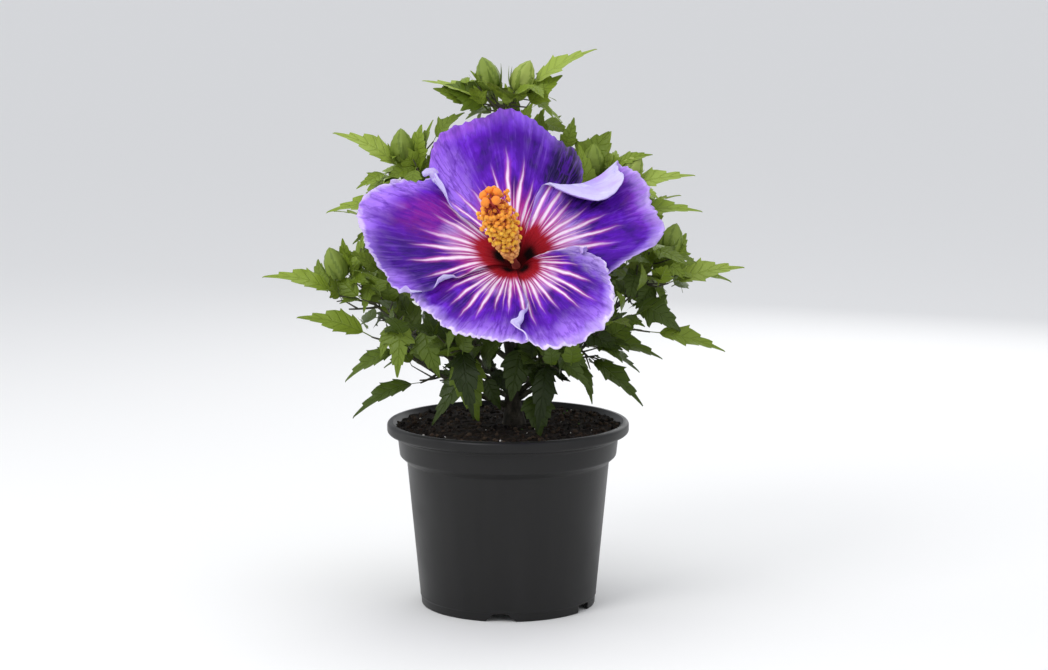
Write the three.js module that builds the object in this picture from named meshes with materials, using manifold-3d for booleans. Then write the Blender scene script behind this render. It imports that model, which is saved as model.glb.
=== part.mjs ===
// Hibiscus shrub with one large open bloom, growing in a round nursery pot.
// Millimetres, +Z up, the plant's front faces -Y. The origin is on the flat underside of the pot.
import * as THREE from 'three';
import { mergeVertices } from 'three/addons/utils/BufferGeometryUtils.js';
import Module from 'manifold-3d';

const wasm = await Module();
wasm.setup();

const { degToRad, lerp } = THREE.MathUtils;

// fits
const gap = 0.3;
const mergeDistance = 1e-4;

// pot
const potHeight = 130;
const rimRadius = 85;
const rimDepth = 8;
const rimWidth = 4.5;
const rimRound = 1.4;
const collarRadius = 77.6;
const collarDraft = 1.4;
const collarHeight = 23.5;
const shoulderRadius = 71.4;
const shoulderHeight = 4.5;
const footRadius = 61.4;
const footRecess = 6;
const wall = 2;
const padRadius = 34;
const padFlank = 2;
const notchHeight = 5.6;
const archWidths = [25, 9];
const slotWidths = [13, 13];
const archAngles = [-4.6, 175.4];
const slotAngles = [59, 90, 149, 211, -90];
const notchDepth = 12;
const notchInset = 8;
const roundSides = 32;

// soil
const soilTop = 127.5;
const soilMound = 1;
const moundRadius = 14;

// main stem, from the soil to its tip behind the bloom
const ground = soilTop + soilMound + gap;
const trunkFoot = [4, 0, ground];
const trunkBends = [[1, 4, 190], [-2, 9, 270]];
const trunkTip = [-3, 13, 334];
const trunkRadius = 5.4;
const trunkTipRadius = 1.5;
const trunkTaper = 0.8;
const flareRadius = 3;
const flareHeight = 12;

// boughs, stems of the masses and their twigs
const boughRadius = 2.1;
const stemRadius = 1.5;
const stemTipRadius = 0.8;
const twigRadius = 0.95;
const twigTipRadius = 0.6;
const twigLengths = [14, 26];
const boughSag = 0.1;

// how twigs and the leaves on them stand off: shares of their length, along each direction
const twigShares = [0.08, 0.95];
const twigStray = 0.4;
const twigAway = { out: 0.35, along: 0.7 };
const twigLift = 0.12;
const fanTurn = 1.4;
const stemLeaf = { out: 0.5, along: 0.4, length: 0.9 };
const endLeaf = { away: 0.9, fall: 0.2 };
const sideLeaf = { away: 0.45, fan: 0.8 };
const halfLeaf = { away: 0.4, fan: -0.8 };

// leaves: half widths at shares of the length, from the stalk to the tip
const leafShares = [0, 0.17, 0.44, 0.74, 1];
const leafHalves = [0.09, 0.15, 1, 0.52, 0.03];
const leafWidth = 0.19;
const leadWidth = 0.15;
const leafLengths = [38, 54];
const leadLength = 54;
const leafThickness = 0.024;
const leafFold = 0.22;
const leafArch = 0.06;
const leafSink = 0.4;
const leafSpacing = 17;
const goldenAngle = degToRad(137.5);
const faceOut = 0.45;
const faceUp = 0.85;
const leadAside = 0.6;
const rearAside = -0.2;
const rearDepth = 30;

// buds
const budRadius = 8.5;
const budLength = 25;
const budStalkRadius = 1.2;
const budLift = 1;
const budShares = [0, 0.14, 0.42, 0.74, 1];
const budHalves = [0, 0.75, 1, 0.72, 0];

// room that leaves and buds keep
const shareClear = 0.9;
const limbClear = 0.8;
const bloomClear = 7;
const potClear = 3;
const crownMiddle = [0, 12, 240];
const crownReach = [138, 132, 145];
const crownDrop = 104;
const crownPower = 1.5;

// bloom
const throat = [5, -65, 252];
const bloomLift = degToRad(31.5);
const bloomTurn = degToRad(5);
const cupDepth = 18;
const cupRise = 26;
const cupSpread = 12;
const leanMiddle = 0.14;
const leanSwing = 0.2;
// The waves of a petal's outline: where each is across the petal, how wide and how high it is.
const petals = {
  top: {
    turn: 97, length: 114, narrowing: 0.33, curve: 1.8, lopsided: 0.04,
    waves: [[-0.4, 0.4, -0.065]],
  },
  left: {
    turn: 167, length: 109, narrowing: 0.32, curve: 1.2, lopsided: 0.1,
    waves: [[-0.4, 0.4, 0.055], [0.5, 0.3, -0.09]],
  },
  lower_left: { turn: 239, length: 75, narrowing: 0, curve: 2, lopsided: 0, waves: [] },
  lower_right: { turn: 315, length: 89, narrowing: 0.4, curve: 2, lopsided: -0.14, waves: [] },
  right: {
    turn: 25, length: 99, narrowing: 0.35, curve: 2.1, lopsided: -0.04,
    waves: [[-0.36, 0.2, 0.05], [-0.75, 0.2, -0.07], [0.42, 0.25, 0.045]],
  },
};
const petalRoot = 3.2;
const petalNarrow = degToRad(29);
const petalWide = degToRad(49);
const petalSpread = 1.6;
const petalSpreadCurve = 0.7;
const petalClose = 0.1;
const petalScallop = 0.02;
const petalThickness = 1.2;
const petalTilt = 2.5;
const petalTiltStart = 5;
const petalRuffle = 2.2;
const petalWaves = 7;
const columnLength = 60;
const columnRise = 0.5;
const columnLean = [-5, 5];
const columnBend = [-11, 14];
const columnRadius = 2.1;
const columnTipRadius = 1.2;
const stamenCount = 14;
const stamenLength = 12;
const stamenShares = [0.3, 0.94];
const stamenLean = 0.35;
const shortestStamen = 0.5;
const antherRadius = 2.2;
const stigmaCount = 5;
const stigmaLength = 10;
const stigmaRadius = 2.9;
const stigmaShare = 0.97;
const stigmaLean = 0.7;
const calyxDepth = 24;
const calyxRadius = 9;
const calyxLip = 0.6;
const calyxWaist = [0.7, 0.2];
const stalkRadius = 1.9;
const stalkHeight = 186;
const stalkRun = 22;

// Each mass of leaves: the height where its bough leaves the main stem, the top end of its stem, the
// share of the way where the bough ends, how many twigs it grows, the tips that its leading leaves
// reach (each after the share of the stem where it grows), and the middles of its buds (likewise).
const masses = {
  left: {
    seed: 11, from: 152, crest: [-108, -4, 226], enter: 0.5, twigs: 5,
    leads: [[0.7, -170, -15, 233], [0.95, -100, 8, 263]],
    buds: [[1, -120, -10, 242]],
  },
  right: {
    seed: 23, from: 147, crest: [106, 2, 246], enter: 0.5, twigs: 5,
    leads: [[0.55, 165, 0, 238], [0.75, 157, 12, 226]],
    buds: [[1, 114, 4, 257]],
  },
  lower_left: {
    seed: 31, from: 139, crest: [-84, -16, 190], enter: 0.5, twigs: 4,
    leads: [[0.15, -107, -32, 137], [0.75, -113, -18, 160], [0.95, -147, -10, 204]],
    buds: [],
  },
  lower_right: {
    seed: 47, from: 143, crest: [73, -14, 206], enter: 0.5, twigs: 4,
    leads: [[0.9, 151, -15, 181], [0.3, 93, -34, 146], [0.6, 108, -4, 174]],
    buds: [],
  },
  front_left: {
    seed: 53, from: 158, crest: [-32, -42, 192], enter: 0.45, twigs: 4,
    leads: [[0.95, -23, -58, 141], [0.35, -52, -42, 134]],
    buds: [],
  },
  front_right: {
    seed: 61, from: 163, crest: [30, -38, 182], enter: 0.45, twigs: 4,
    leads: [[0.8, 20, -50, 131], [0.95, 58, -38, 156]],
    buds: [],
  },
  upper_left: {
    seed: 71, from: 236, crest: [-72, 15, 306], enter: 0.4, twigs: 4,
    leads: [[0.9, -122, 10, 331], [0.35, -128, 20, 274], [0.8, -52, 16, 340]],
    buds: [[1, -74, 14, 322]],
  },
  upper_right: {
    seed: 83, from: 228, crest: [60, 15, 296], enter: 0.4, twigs: 4,
    leads: [[0.8, 131, 15, 301], [0.5, 136, 10, 276], [0.95, 72, 18, 332]],
    buds: [[1, 60, 12, 312], [0.85, 86, 12, 306]],
  },
  top: {
    seed: 97, from: null, crest: [-2, 12, 357], enter: 0, twigs: 3,
    leads: [[0.8, 62, 15, 389], [0.6, -60, 15, 367], [0.9, 34, 15, 353]],
    buds: [[1, -14, 14, 372], [0.95, 11, 12, 370]],
  },
  back_left: {
    seed: 101, from: 172, crest: [-86, 70, 250], enter: 0.36, twigs: 5,
    leads: [[0.9, -128, 92, 268], [0.5, -122, 66, 214]],
    buds: [[1, -92, 76, 264]],
  },
  back_right: {
    seed: 113, from: 180, crest: [84, 72, 258], enter: 0.36, twigs: 5,
    leads: [[0.9, 126, 88, 280], [0.5, 128, 62, 222]],
    buds: [],
  },
  back: {
    seed: 127, from: 190, crest: [2, 106, 232], enter: 0.36, twigs: 5,
    leads: [[0.9, 20, 154, 248], [0.5, -22, 140, 200]],
    buds: [[1, 0, 114, 247]],
  },
  back_low_left: {
    seed: 131, from: 146, crest: [-58, 66, 178], enter: 0.4, twigs: 4,
    leads: [[0.8, -92, 92, 152], [0.95, -90, 66, 190]],
    buds: [],
  },
  back_low_right: {
    seed: 149, from: 155, crest: [62, 58, 180], enter: 0.4, twigs: 4,
    leads: [[0.8, 96, 84, 150], [0.95, 96, 40, 188]],
    buds: [],
  },
  back_top: {
    seed: 151, from: 252, crest: [6, 66, 316], enter: 0.36, twigs: 5,
    leads: [[0.9, 22, 102, 346], [0.5, -40, 92, 306]],
    buds: [[1, 6, 72, 332]],
  },
};

// Helpers

const vector = (values) => new THREE.Vector3(...values);
const upward = vector([0, 0, 1]);

// A repeatable draw between 0 and 1, from its own seed.
function dice(seed) {
  let state = seed;
  return () => {
    state = (state * 16807) % 2147483647;
    return state / 2147483647;
  };
}

function closedMesh(geometry) {
  const bare = geometry.clone();
  bare.deleteAttribute('normal');
  bare.deleteAttribute('uv');
  const merged = mergeVertices(bare, mergeDistance);
  const kept = [];
  for (let i = 0; i < merged.index.count; i += 3) {
    const [a, b, c] = [0, 1, 2].map((corner) => merged.index.getX(i + corner));
    if (a !== b && b !== c && c !== a) kept.push(a, b, c);
  }
  merged.setIndex(kept);
  return merged;
}

function solid(geometry) {
  const mesh = closedMesh(geometry);
  const vertProperties = mesh.attributes.position.array;
  const triVerts = Uint32Array.from(mesh.index.array);
  return new wasm.Manifold(new wasm.Mesh({ numProp: 3, vertProperties, triVerts }));
}

function joined(solids) {
  return solids.slice(1).reduce((whole, next) => whole.add(next), solids[0]);
}

// The largest body alone, so that a scrap is dropped and a sealed hollow is filled.
function geometryOf(whole) {
  const bodies = whole.decompose().sort((a, b) => b.volume() - a.volume());
  const { vertProperties, triVerts } = bodies[0].getMesh();
  const geometry = new THREE.BufferGeometry();
  geometry.setAttribute('position', new THREE.BufferAttribute(vertProperties, 3));
  geometry.setIndex(new THREE.BufferAttribute(triVerts, 1));
  geometry.computeVertexNormals();
  return geometry;
}

// Moves every vertex of a geometry with a function that changes the point it is given.
function reshape(geometry, move) {
  const { position } = geometry.attributes;
  const point = new THREE.Vector3();
  for (let i = 0; i < position.count; i++) {
    move(point.fromBufferAttribute(position, i));
    position.setXYZ(i, point.x, point.y, point.z);
  }
  return geometry;
}

const taper = (thick, thin) => (share) => lerp(thick, thin, share);

// A round limb along a curve, with a radius for each share of its length.
function limb(curve, radiusAt, sides, steps) {
  const frames = curve.computeFrenetFrames(steps);
  return reshape(new THREE.CylinderGeometry(1, 1, 1, sides, steps), (point) => {
    const share = point.y + 0.5;
    const ring = Math.round(share * steps);
    const radius = radiusAt(share);
    const { x, z } = point;
    point.copy(curve.getPointAt(share));
    point.addScaledVector(frames.normals[ring], x * radius);
    point.addScaledVector(frames.binormals[ring], -z * radius);
  });
}

function straightLimb(from, to, radiusAt, sides) {
  return limb(new THREE.LineCurve3(from, to), radiusAt, sides, 1);
}

// A lathe whose axis is +Z, from pairs of radius and height.
function lathe(profile, sides) {
  const points = profile.map(([radius, height]) => new THREE.Vector2(radius, height));
  return new THREE.LatheGeometry(points, sides).rotateX(Math.PI / 2);
}

// Stands a geometry that points up on a point, along a direction.
function aimed(geometry, from, direction) {
  geometry.applyQuaternion(new THREE.Quaternion().setFromUnitVectors(upward, direction));
  return geometry.translate(from.x, from.y, from.z);
}

// Pot and soil

const collarTop = potHeight - rimDepth;
const collarBottom = potHeight - collarHeight;
const shoulderTop = collarBottom - shoulderHeight;

const outerWall = [
  [0, 0], [padRadius, 0], [padRadius + padFlank, footRecess],
  [footRadius - wall, footRecess], [footRadius - wall, 0], [footRadius, 0],
  [shoulderRadius, shoulderTop], [collarRadius - collarDraft, collarBottom], [collarRadius, collarTop],
  [rimRadius - rimRound, collarTop], [rimRadius, collarTop + rimRound], [rimRadius, potHeight - rimRound],
  [rimRadius - rimRound, potHeight], [rimRadius - rimWidth + rimRound / 2, potHeight],
];

// The inside of the wall, from the rim down to the dished floor, moved inwards by a clearance.
function innerWall(clear) {
  const floor = footRecess + wall + clear;
  return [
    [rimRadius - rimWidth - clear, potHeight - rimRound],
    [collarRadius - wall - clear, collarTop + wall],
    [collarRadius - collarDraft - wall - clear, collarBottom],
    [shoulderRadius - wall - clear, shoulderTop],
    [footRadius - wall / 2 - clear, floor],
    [padRadius + padFlank - wall - clear, floor],
    [padRadius - wall - clear, wall + clear],
    [0, wall + clear],
  ];
}

// A notch through the foot ring, as wide at the foot and at its top as given.
function notch(angle, [footWidth, topWidth]) {
  const outline = new THREE.Shape([
    new THREE.Vector2(-footWidth / 2, -1),
    new THREE.Vector2(footWidth / 2, -1),
    new THREE.Vector2(footWidth / 2, 0),
    new THREE.Vector2(topWidth / 2, notchHeight),
    new THREE.Vector2(-topWidth / 2, notchHeight),
    new THREE.Vector2(-footWidth / 2, 0),
  ]);
  const cutter = new THREE.ExtrudeGeometry(outline, { depth: notchDepth, bevelEnabled: false });
  cutter.rotateX(Math.PI / 2).translate(0, notchInset - footRadius, 0);
  return solid(cutter.rotateZ(degToRad(angle)));
}

function makePot() {
  let pot = solid(lathe([...outerWall, ...innerWall(0)], roundSides));
  for (const angle of archAngles) pot = pot.subtract(notch(angle, archWidths));
  for (const angle of slotAngles) pot = pot.subtract(notch(angle, slotWidths));
  return geometryOf(pot);
}

function makeSoil() {
  const [rim, collar, ...lower] = innerWall(gap);
  const edge = [lerp(collar[0], rim[0], (soilTop - collar[1]) / (rim[1] - collar[1])), soilTop];
  const sides = [...lower.reverse(), collar];
  const mound = soilTop + soilMound;
  return geometryOf(solid(lathe([...sides, edge, [moundRadius, mound], [0, mound]], roundSides)));
}

// Main stem

const trunkCurve = new THREE.CatmullRomCurve3([trunkFoot, ...trunkBends, trunkTip].map(vector));
const trunkLength = trunkCurve.getLength();

function trunkRadiusAt(share) {
  const flare = flareRadius * Math.exp((-share * trunkLength) / flareHeight);
  return lerp(trunkRadius, trunkTipRadius, share ** trunkTaper) + flare;
}

function trunkSolid(grown) {
  return solid(limb(trunkCurve, (share) => trunkRadiusAt(share) + grown, 8, 12));
}

function makeTrunk() {
  const side = 4 * moundRadius;
  const below = new THREE.BoxGeometry(side, side, side).translate(0, 0, ground - side / 2);
  return geometryOf(trunkSolid(0).subtract(solid(below)));
}

function trunkPoint(height) {
  return trunkCurve.getPointAt((height - ground) / (trunkTip[2] - ground));
}

// Bloom: in its own frame x is to its right, y is up its face and z is out along its axis.

const bloomFrame = new THREE.Matrix4()
  .makeRotationZ(-bloomTurn)
  .multiply(new THREE.Matrix4().makeRotationX(Math.PI / 2 - bloomLift))
  .setPosition(vector(throat));
const bloomInverse = bloomFrame.clone().invert();
const bloomAxis = new THREE.Vector3(0, 0, 1).transformDirection(bloomFrame);

// The cup that all petals follow, which leans forward towards its lower side.
function cupHeight(angle, radius) {
  const cup = cupRise * (1 - Math.exp(-radius / cupSpread)) - cupDepth;
  return cup + radius * (leanMiddle - leanSwing * Math.sin(angle));
}

// Each petal's left side lies over its neighbour, because it tilts a little from side to side.
function makePetal({ turn, length, narrowing, curve, lopsided, waves }) {
  const sheet = new THREE.BoxGeometry(2, 1, 1, 8, 6, 1);
  reshape(sheet, (point) => {
    const across = point.x;
    const out = point.y + 0.5;
    const spread = Math.min(1, petalSpread * out) ** petalSpreadCurve;
    const halfAngle = lerp(petalNarrow, petalWide, spread) * (1 - petalClose * out ** 4);
    const angle = degToRad(turn) + across * halfAngle;
    const scallop = 1 + petalScallop * Math.sin((petalWaves + 2) * across + turn);
    let rounding = (1 - narrowing * Math.abs(across) ** curve) * (1 + lopsided * across);
    for (const [at, wide, high] of waves) rounding *= 1 + high * Math.exp(-(((across - at) / wide) ** 2));
    const radius = lerp(petalRoot, length * scallop * rounding, out);
    const tilt = petalTilt * across * Math.min(1, petalTiltStart * out);
    const ruffle = petalRuffle * out ** 3 * (1 - across ** 2) * Math.sin(petalWaves * across + turn);
    const height = cupHeight(angle, radius) + tilt + ruffle - point.z * petalThickness;
    point.set(radius * Math.cos(angle), radius * Math.sin(angle), height).applyMatrix4(bloomFrame);
  });
  return geometryOf(solid(sheet));
}

const columnCurve = new THREE.QuadraticBezierCurve3(
  vector([0, 0, cupHeight(0, petalRoot) - 1]),
  vector([...columnLean, columnLength * columnRise]),
  vector([...columnBend, columnLength]),
);

// A stamen or style: a thin stalk from the column with a knob on its end.
function knobbed(share, turn, lean, length, knob) {
  const along = columnCurve.getTangent(share);
  const out = vector([Math.cos(turn), Math.sin(turn), 0]).addScaledVector(along, lean).normalize();
  const stalk = knob / 4;
  const profile = [[0, 0], [stalk, stalk], [stalk, length - knob], [knob, length], [0, length + knob]];
  return solid(aimed(lathe(profile, 4), columnCurve.getPoint(share), out));
}

function makeColumn() {
  const parts = [solid(limb(columnCurve, taper(columnRadius, columnTipRadius), 6, 5))];
  for (let i = 0; i < stamenCount; i++) {
    const share = lerp(...stamenShares, i / (stamenCount - 1));
    const length = stamenLength * Math.min(1, shortestStamen + share);
    parts.push(knobbed(share, i * goldenAngle, stamenLean, length, antherRadius));
  }
  for (let i = 0; i < stigmaCount; i++) {
    const turn = (i * 2 * Math.PI) / stigmaCount;
    parts.push(knobbed(stigmaShare, turn, stigmaLean, stigmaLength, stigmaRadius));
  }
  return geometryOf(joined(parts)).applyMatrix4(bloomFrame);
}

const calyxTop = cupHeight(Math.PI / 2, petalRoot) - petalThickness / 2 - gap;
const calyxFoot = vector([0, 0, calyxTop - calyxDepth]).applyMatrix4(bloomFrame);

function makeCalyx() {
  const bottom = calyxTop - calyxDepth;
  const profile = [
    [0, bottom], [stalkRadius + calyxLip, bottom],
    [calyxWaist[0] * calyxRadius, bottom + calyxWaist[1] * calyxDepth],
    [calyxRadius, bottom + calyxDepth / 2], [calyxRadius, calyxTop - 1],
    [petalRoot + calyxLip, calyxTop], [0, calyxTop],
  ];
  return geometryOf(solid(lathe(profile, 12))).applyMatrix4(bloomFrame);
}

const stalkEnd = calyxFoot.clone().addScaledVector(bloomAxis, -gap);
const stalkBend = stalkEnd.clone().addScaledVector(bloomAxis, -stalkRun);
const stalkCurve = new THREE.QuadraticBezierCurve3(trunkPoint(stalkHeight), stalkBend, stalkEnd);

function makeStalk() {
  const stalk = solid(limb(stalkCurve, taper(stalkRadius, stalkRadius), 6, 5));
  return geometryOf(stalk.subtract(trunkSolid(gap)));
}

// Boughs: one curve runs from the main stem to a mass's crest, and the bough is its first share.

function limbCurve({ from, crest }) {
  const end = vector(crest);
  const start = from === null ? vector(trunkTip) : trunkPoint(from);
  const middle = start.clone().lerp(end, 0.5);
  if (from === null) {
    const along = trunkCurve.getTangentAt(1);
    start.addScaledVector(along, gap);
    middle.copy(start).addScaledVector(along, start.distanceTo(end) / 2);
  } else {
    middle.z -= boughSag * start.distanceTo(end);
  }
  return new THREE.QuadraticBezierCurve3(start, middle, end);
}

function curvePart(curve, from, to) {
  const points = [0, 0.25, 0.5, 0.75, 1].map((share) => curve.getPointAt(lerp(from, to, share)));
  return new THREE.CatmullRomCurve3(points);
}

for (const mass of Object.values(masses)) {
  const whole = limbCurve(mass);
  mass.bough = mass.from === null ? null : curvePart(whole, 0, mass.enter);
  mass.stem = mass.bough ? curvePart(whole, mass.enter + gap / whole.getLength(), 1) : whole;
}

function makeBough({ bough }) {
  return geometryOf(solid(limb(bough, taper(boughRadius, stemRadius), 6, 3)).subtract(trunkSolid(gap)));
}

// Room: a leaf belongs to the mass whose frame is nearest, and stays clear of limbs, bloom and pot.

// A bud stands more upright than its stalk.
function budAxis(root, middle) {
  return middle.clone().sub(root).normalize().addScaledVector(upward, budLift).normalize();
}

// The stem of a mass and the lines of its leading leaves and buds, as points.
function frameOf(mass) {
  const points = mass.stem.getPoints(8);
  for (const [share, ...tip] of mass.leads) {
    points.push(...new THREE.LineCurve3(mass.stem.getPoint(share), vector(tip)).getPoints(8));
  }
  for (const [share, ...middle] of mass.buds) {
    const root = mass.stem.getPoint(share);
    const end = vector(middle);
    end.addScaledVector(budAxis(root, end), budLength / 2);
    points.push(...new THREE.LineCurve3(root, end).getPoints(6));
  }
  return points;
}

const frames = Object.entries(masses).map(([name, mass]) => [name, frameOf(mass)]);

const limbPoints = trunkCurve.getPoints(40).map((point, i) => [point, trunkRadiusAt(i / 40)]);
limbPoints.push(...stalkCurve.getPoints(12).map((point) => [point, stalkRadius]));
limbPoints.push([calyxFoot.clone().addScaledVector(bloomAxis, calyxDepth / 2), calyxDepth / 2]);
for (const { bough } of Object.values(masses)) {
  if (bough) limbPoints.push(...bough.getPoints(14).map((point) => [point, boughRadius]));
}

function nearest(point, points) {
  return Math.min(...points.map((other) => other.distanceTo(point)));
}

function inOwnShare(point, name) {
  let own = 0;
  let others = Infinity;
  for (const [other, points] of frames) {
    const distance = nearest(point, points);
    if (other === name) own = distance;
    else others = Math.min(others, distance);
  }
  return own + shareClear < others;
}

function clearOfLimbs(point) {
  return limbPoints.every(([other, radius]) => other.distanceTo(point) > radius + limbClear);
}

const bloomReach = bloomClear + Math.max(...Object.values(petals).map(({ length }) => length));

function behindBloom(point) {
  const { x, y, z } = point.clone().applyMatrix4(bloomInverse);
  const radius = Math.hypot(x, y);
  return radius > bloomReach || z < cupHeight(Math.atan2(y, x), radius) - bloomClear;
}

function clearOfPot(point) {
  const radius = Math.hypot(point.x, point.y);
  if (radius < collarRadius - wall - potClear) return point.z > soilTop + potClear;
  return radius > rimRadius + potClear || point.z > potHeight + potClear;
}

function hasRoom(geometry, name) {
  const { position } = geometry.attributes;
  for (let i = 0; i < position.count; i++) {
    const point = new THREE.Vector3().fromBufferAttribute(position, i);
    if (!inOwnShare(point, name) || !behindBloom(point)) return false;
    if (!clearOfPot(point) || !clearOfLimbs(point)) return false;
  }
  return true;
}

// The outline that the crown keeps to, apart from its leading leaves.
function inCrown(point) {
  const { x, y, z } = point.clone().sub(vector(crownMiddle));
  const level = Math.hypot(x / crownReach[0], y / crownReach[1]);
  const height = Math.abs(z) / (z > 0 ? crownReach[2] : crownDrop);
  return level ** crownPower + height ** crownPower < 1;
}

// Masses

// A folded blade with a keel under it, from its root to its tip, with its face turned as asked.
function leaf(root, tip, face, width) {
  const length = root.distanceTo(tip);
  const along = tip.clone().sub(root).normalize();
  const side = along.clone().cross(face).normalize();
  const up = side.clone().cross(along);
  const steps = leafShares.length - 1;
  const blade = new THREE.CylinderGeometry(1, 1, 1, 3, steps, false, Math.PI);
  return reshape(blade, (point) => {
    const step = Math.round((point.y + 0.5) * steps);
    const share = leafShares[step];
    const half = leafHalves[step] * width * length;
    const edge = Math.sign(Math.round(2 * point.x));
    const rise = edge === 0 ? -Math.min(half, leafThickness * length) : leafFold * half;
    const arch = leafArch * length * 4 * share * (1 - share);
    point.copy(root).addScaledVector(along, share * length);
    point.addScaledVector(side, edge * half).addScaledVector(up, rise + arch);
  });
}

function bud(root, middle) {
  const axis = budAxis(root, middle);
  const foot = middle.clone().addScaledVector(axis, -budLength / 2);
  const profile = budShares.map((share, i) => [budHalves[i] * budRadius, share * budLength]);
  const body = aimed(lathe(profile, 6), foot, axis);
  const stalkEnd = foot.clone().addScaledVector(axis, budShares[1] * budLength);
  const stalk = straightLimb(root, stalkEnd, taper(budStalkRadius, budStalkRadius), 4);
  return { body, stalk };
}

// A direction across a twig, turned round it by an angle that starts from straight up.
function across(along, turn) {
  const level = upward.clone().cross(along).normalize();
  const up = along.clone().cross(level);
  return up.multiplyScalar(Math.cos(turn)).addScaledVector(level, Math.sin(turn));
}

const outward = (point) => vector([point.x, point.y, 0]).normalize();

// A blade's face looks up and away from the main stem, and a lead's face also to one side.
function leafFace(root, aside) {
  return outward(root).multiplyScalar(faceOut).add(vector([0, -aside, faceUp]));
}

function makeMass(name, mass) {
  const random = dice(mass.seed);
  const { stem } = mass;
  const parts = [solid(limb(stem, taper(stemRadius, stemTipRadius), 4, 4))];
  const middles = [];

  const addTwig = (root, end) => {
    const twig = straightLimb(root, end, taper(twigRadius, twigTipRadius), 3);
    parts.push(solid(twig));
  };
  const addLeaf = (root, tip, width, aside) => {
    const sunk = root.clone().addScaledVector(tip.clone().sub(root).normalize(), -leafSink);
    const blade = leaf(sunk, tip, leafFace(root, aside), width);
    if (!hasRoom(blade, name)) return;
    parts.push(solid(blade));
    middles.push(root.clone().lerp(tip, 0.5));
  };
  const addSeeded = (root, tip) => {
    const crowded = nearest(root.clone().lerp(tip, 0.5), middles) < leafSpacing;
    if (inCrown(tip) && !crowded) addLeaf(root, tip, leafWidth, 0);
  };

  for (const [share, ...middle] of mass.buds) {
    const { body, stalk } = bud(stem.getPoint(share), vector(middle));
    if (hasRoom(body, name)) parts.push(solid(body).add(solid(stalk)));
  }
  for (const [share, ...reach] of mass.leads) {
    const root = stem.getPoint(share);
    const tip = vector(reach);
    const length = root.distanceTo(tip);
    const foot = root.clone().lerp(tip, Math.max(0, 1 - leadLength / length));
    if (length > leadLength) addTwig(root, foot);
    addLeaf(foot, tip, leadWidth, tip.y > rearDepth ? rearAside : leadAside);
  }
  let turn = random() * 2 * Math.PI;
  for (let i = 0; i < mass.twigs; i++) {
    const share = lerp(...twigShares, (i + twigStray * random()) / mass.twigs);
    const root = stem.getPoint(share);
    const along = stem.getTangent(share);
    const out = outward(root);
    turn += goldenAngle;
    const reach = lerp(...twigLengths, random());
    const lengths = [0, 1, 2, 3].map(() => lerp(...leafLengths, random()));

    const facing = across(along, turn + Math.PI);
    facing.addScaledVector(out, stemLeaf.out).addScaledVector(along, stemLeaf.along).normalize();
    addSeeded(root, root.clone().addScaledVector(facing, stemLeaf.length * lengths[3]));

    const away = across(along, turn);
    away.addScaledVector(out, twigAway.out).addScaledVector(along, twigAway.along).normalize();
    const end = root.clone().addScaledVector(away, reach).addScaledVector(upward, twigLift * reach);
    if (!inOwnShare(end, name) || !behindBloom(end) || !clearOfPot(end)) continue;
    addTwig(root, end);
    const fan = across(away, turn + fanTurn);
    const half = root.clone().lerp(end, 0.5);
    const leafTip = (foot, length, aways, fans, falls) => foot.clone()
      .addScaledVector(away, aways * length)
      .addScaledVector(fan, fans * length)
      .addScaledVector(upward, -falls * length);
    addSeeded(end, leafTip(end, lengths[0], endLeaf.away, 0, endLeaf.fall));
    addSeeded(end, leafTip(end, lengths[1], sideLeaf.away, sideLeaf.fan, 0));
    addSeeded(half, leafTip(half, lengths[2], halfLeaf.away, halfLeaf.fan, 0));
  }
  return geometryOf(joined(parts));
}

// The whole plant

const finishes = {
  plastic: { color: 0x2c2c2e, roughness: 0.55 },
  soil: { color: 0x1d1714, roughness: 1 },
  bark: { color: 0x5b4a32, roughness: 0.9 },
  leaf: { color: 0x4f7d2a, roughness: 0.6 },
  petal: { color: 0x5a2fb0, roughness: 0.7 },
  anther: { color: 0xf0a030, roughness: 0.8 },
  calyx: { color: 0x6f9a3c, roughness: 0.7 },
};

const plant = new THREE.Group();

function add(name, geometry, finish) {
  const material = new THREE.MeshStandardMaterial({ ...finishes[finish], metalness: 0 });
  const mesh = new THREE.Mesh(geometry, material);
  mesh.name = name;
  plant.add(mesh);
}

add('pot', makePot(), 'plastic');
add('soil', makeSoil(), 'soil');
add('trunk', makeTrunk(), 'bark');
for (const [name, mass] of Object.entries(masses)) {
  if (mass.bough) add(`bough_${name}`, makeBough(mass), 'bark');
  add(`foliage_${name}`, makeMass(name, mass), 'leaf');
}
for (const [name, petal] of Object.entries(petals)) add(`petal_${name}`, makePetal(petal), 'petal');
add('column', makeColumn(), 'anther');
add('calyx', makeCalyx(), 'calyx');
add('bloom_stalk', makeStalk(), 'calyx');

export default plant;
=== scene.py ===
import math

import bmesh
import bpy
from mathutils import Matrix, Vector, kdtree, noise


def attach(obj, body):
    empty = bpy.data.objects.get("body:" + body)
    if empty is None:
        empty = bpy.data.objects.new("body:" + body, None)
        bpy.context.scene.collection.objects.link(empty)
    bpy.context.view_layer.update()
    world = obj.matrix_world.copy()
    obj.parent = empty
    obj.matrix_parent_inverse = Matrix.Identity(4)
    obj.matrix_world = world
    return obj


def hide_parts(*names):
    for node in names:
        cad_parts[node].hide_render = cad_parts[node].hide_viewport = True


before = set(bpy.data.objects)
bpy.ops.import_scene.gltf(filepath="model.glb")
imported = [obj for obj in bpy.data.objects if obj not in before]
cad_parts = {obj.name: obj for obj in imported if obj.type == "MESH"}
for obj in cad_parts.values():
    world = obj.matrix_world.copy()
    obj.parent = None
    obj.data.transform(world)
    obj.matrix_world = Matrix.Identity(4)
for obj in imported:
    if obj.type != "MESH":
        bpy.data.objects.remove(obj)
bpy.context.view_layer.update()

# Hibiscus shrub with one large bloom in a nursery pot. Shapes are worked out in millimetres.
mm = 0.001
gap = 0.3
up = Vector((0, 0, 1))
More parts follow.
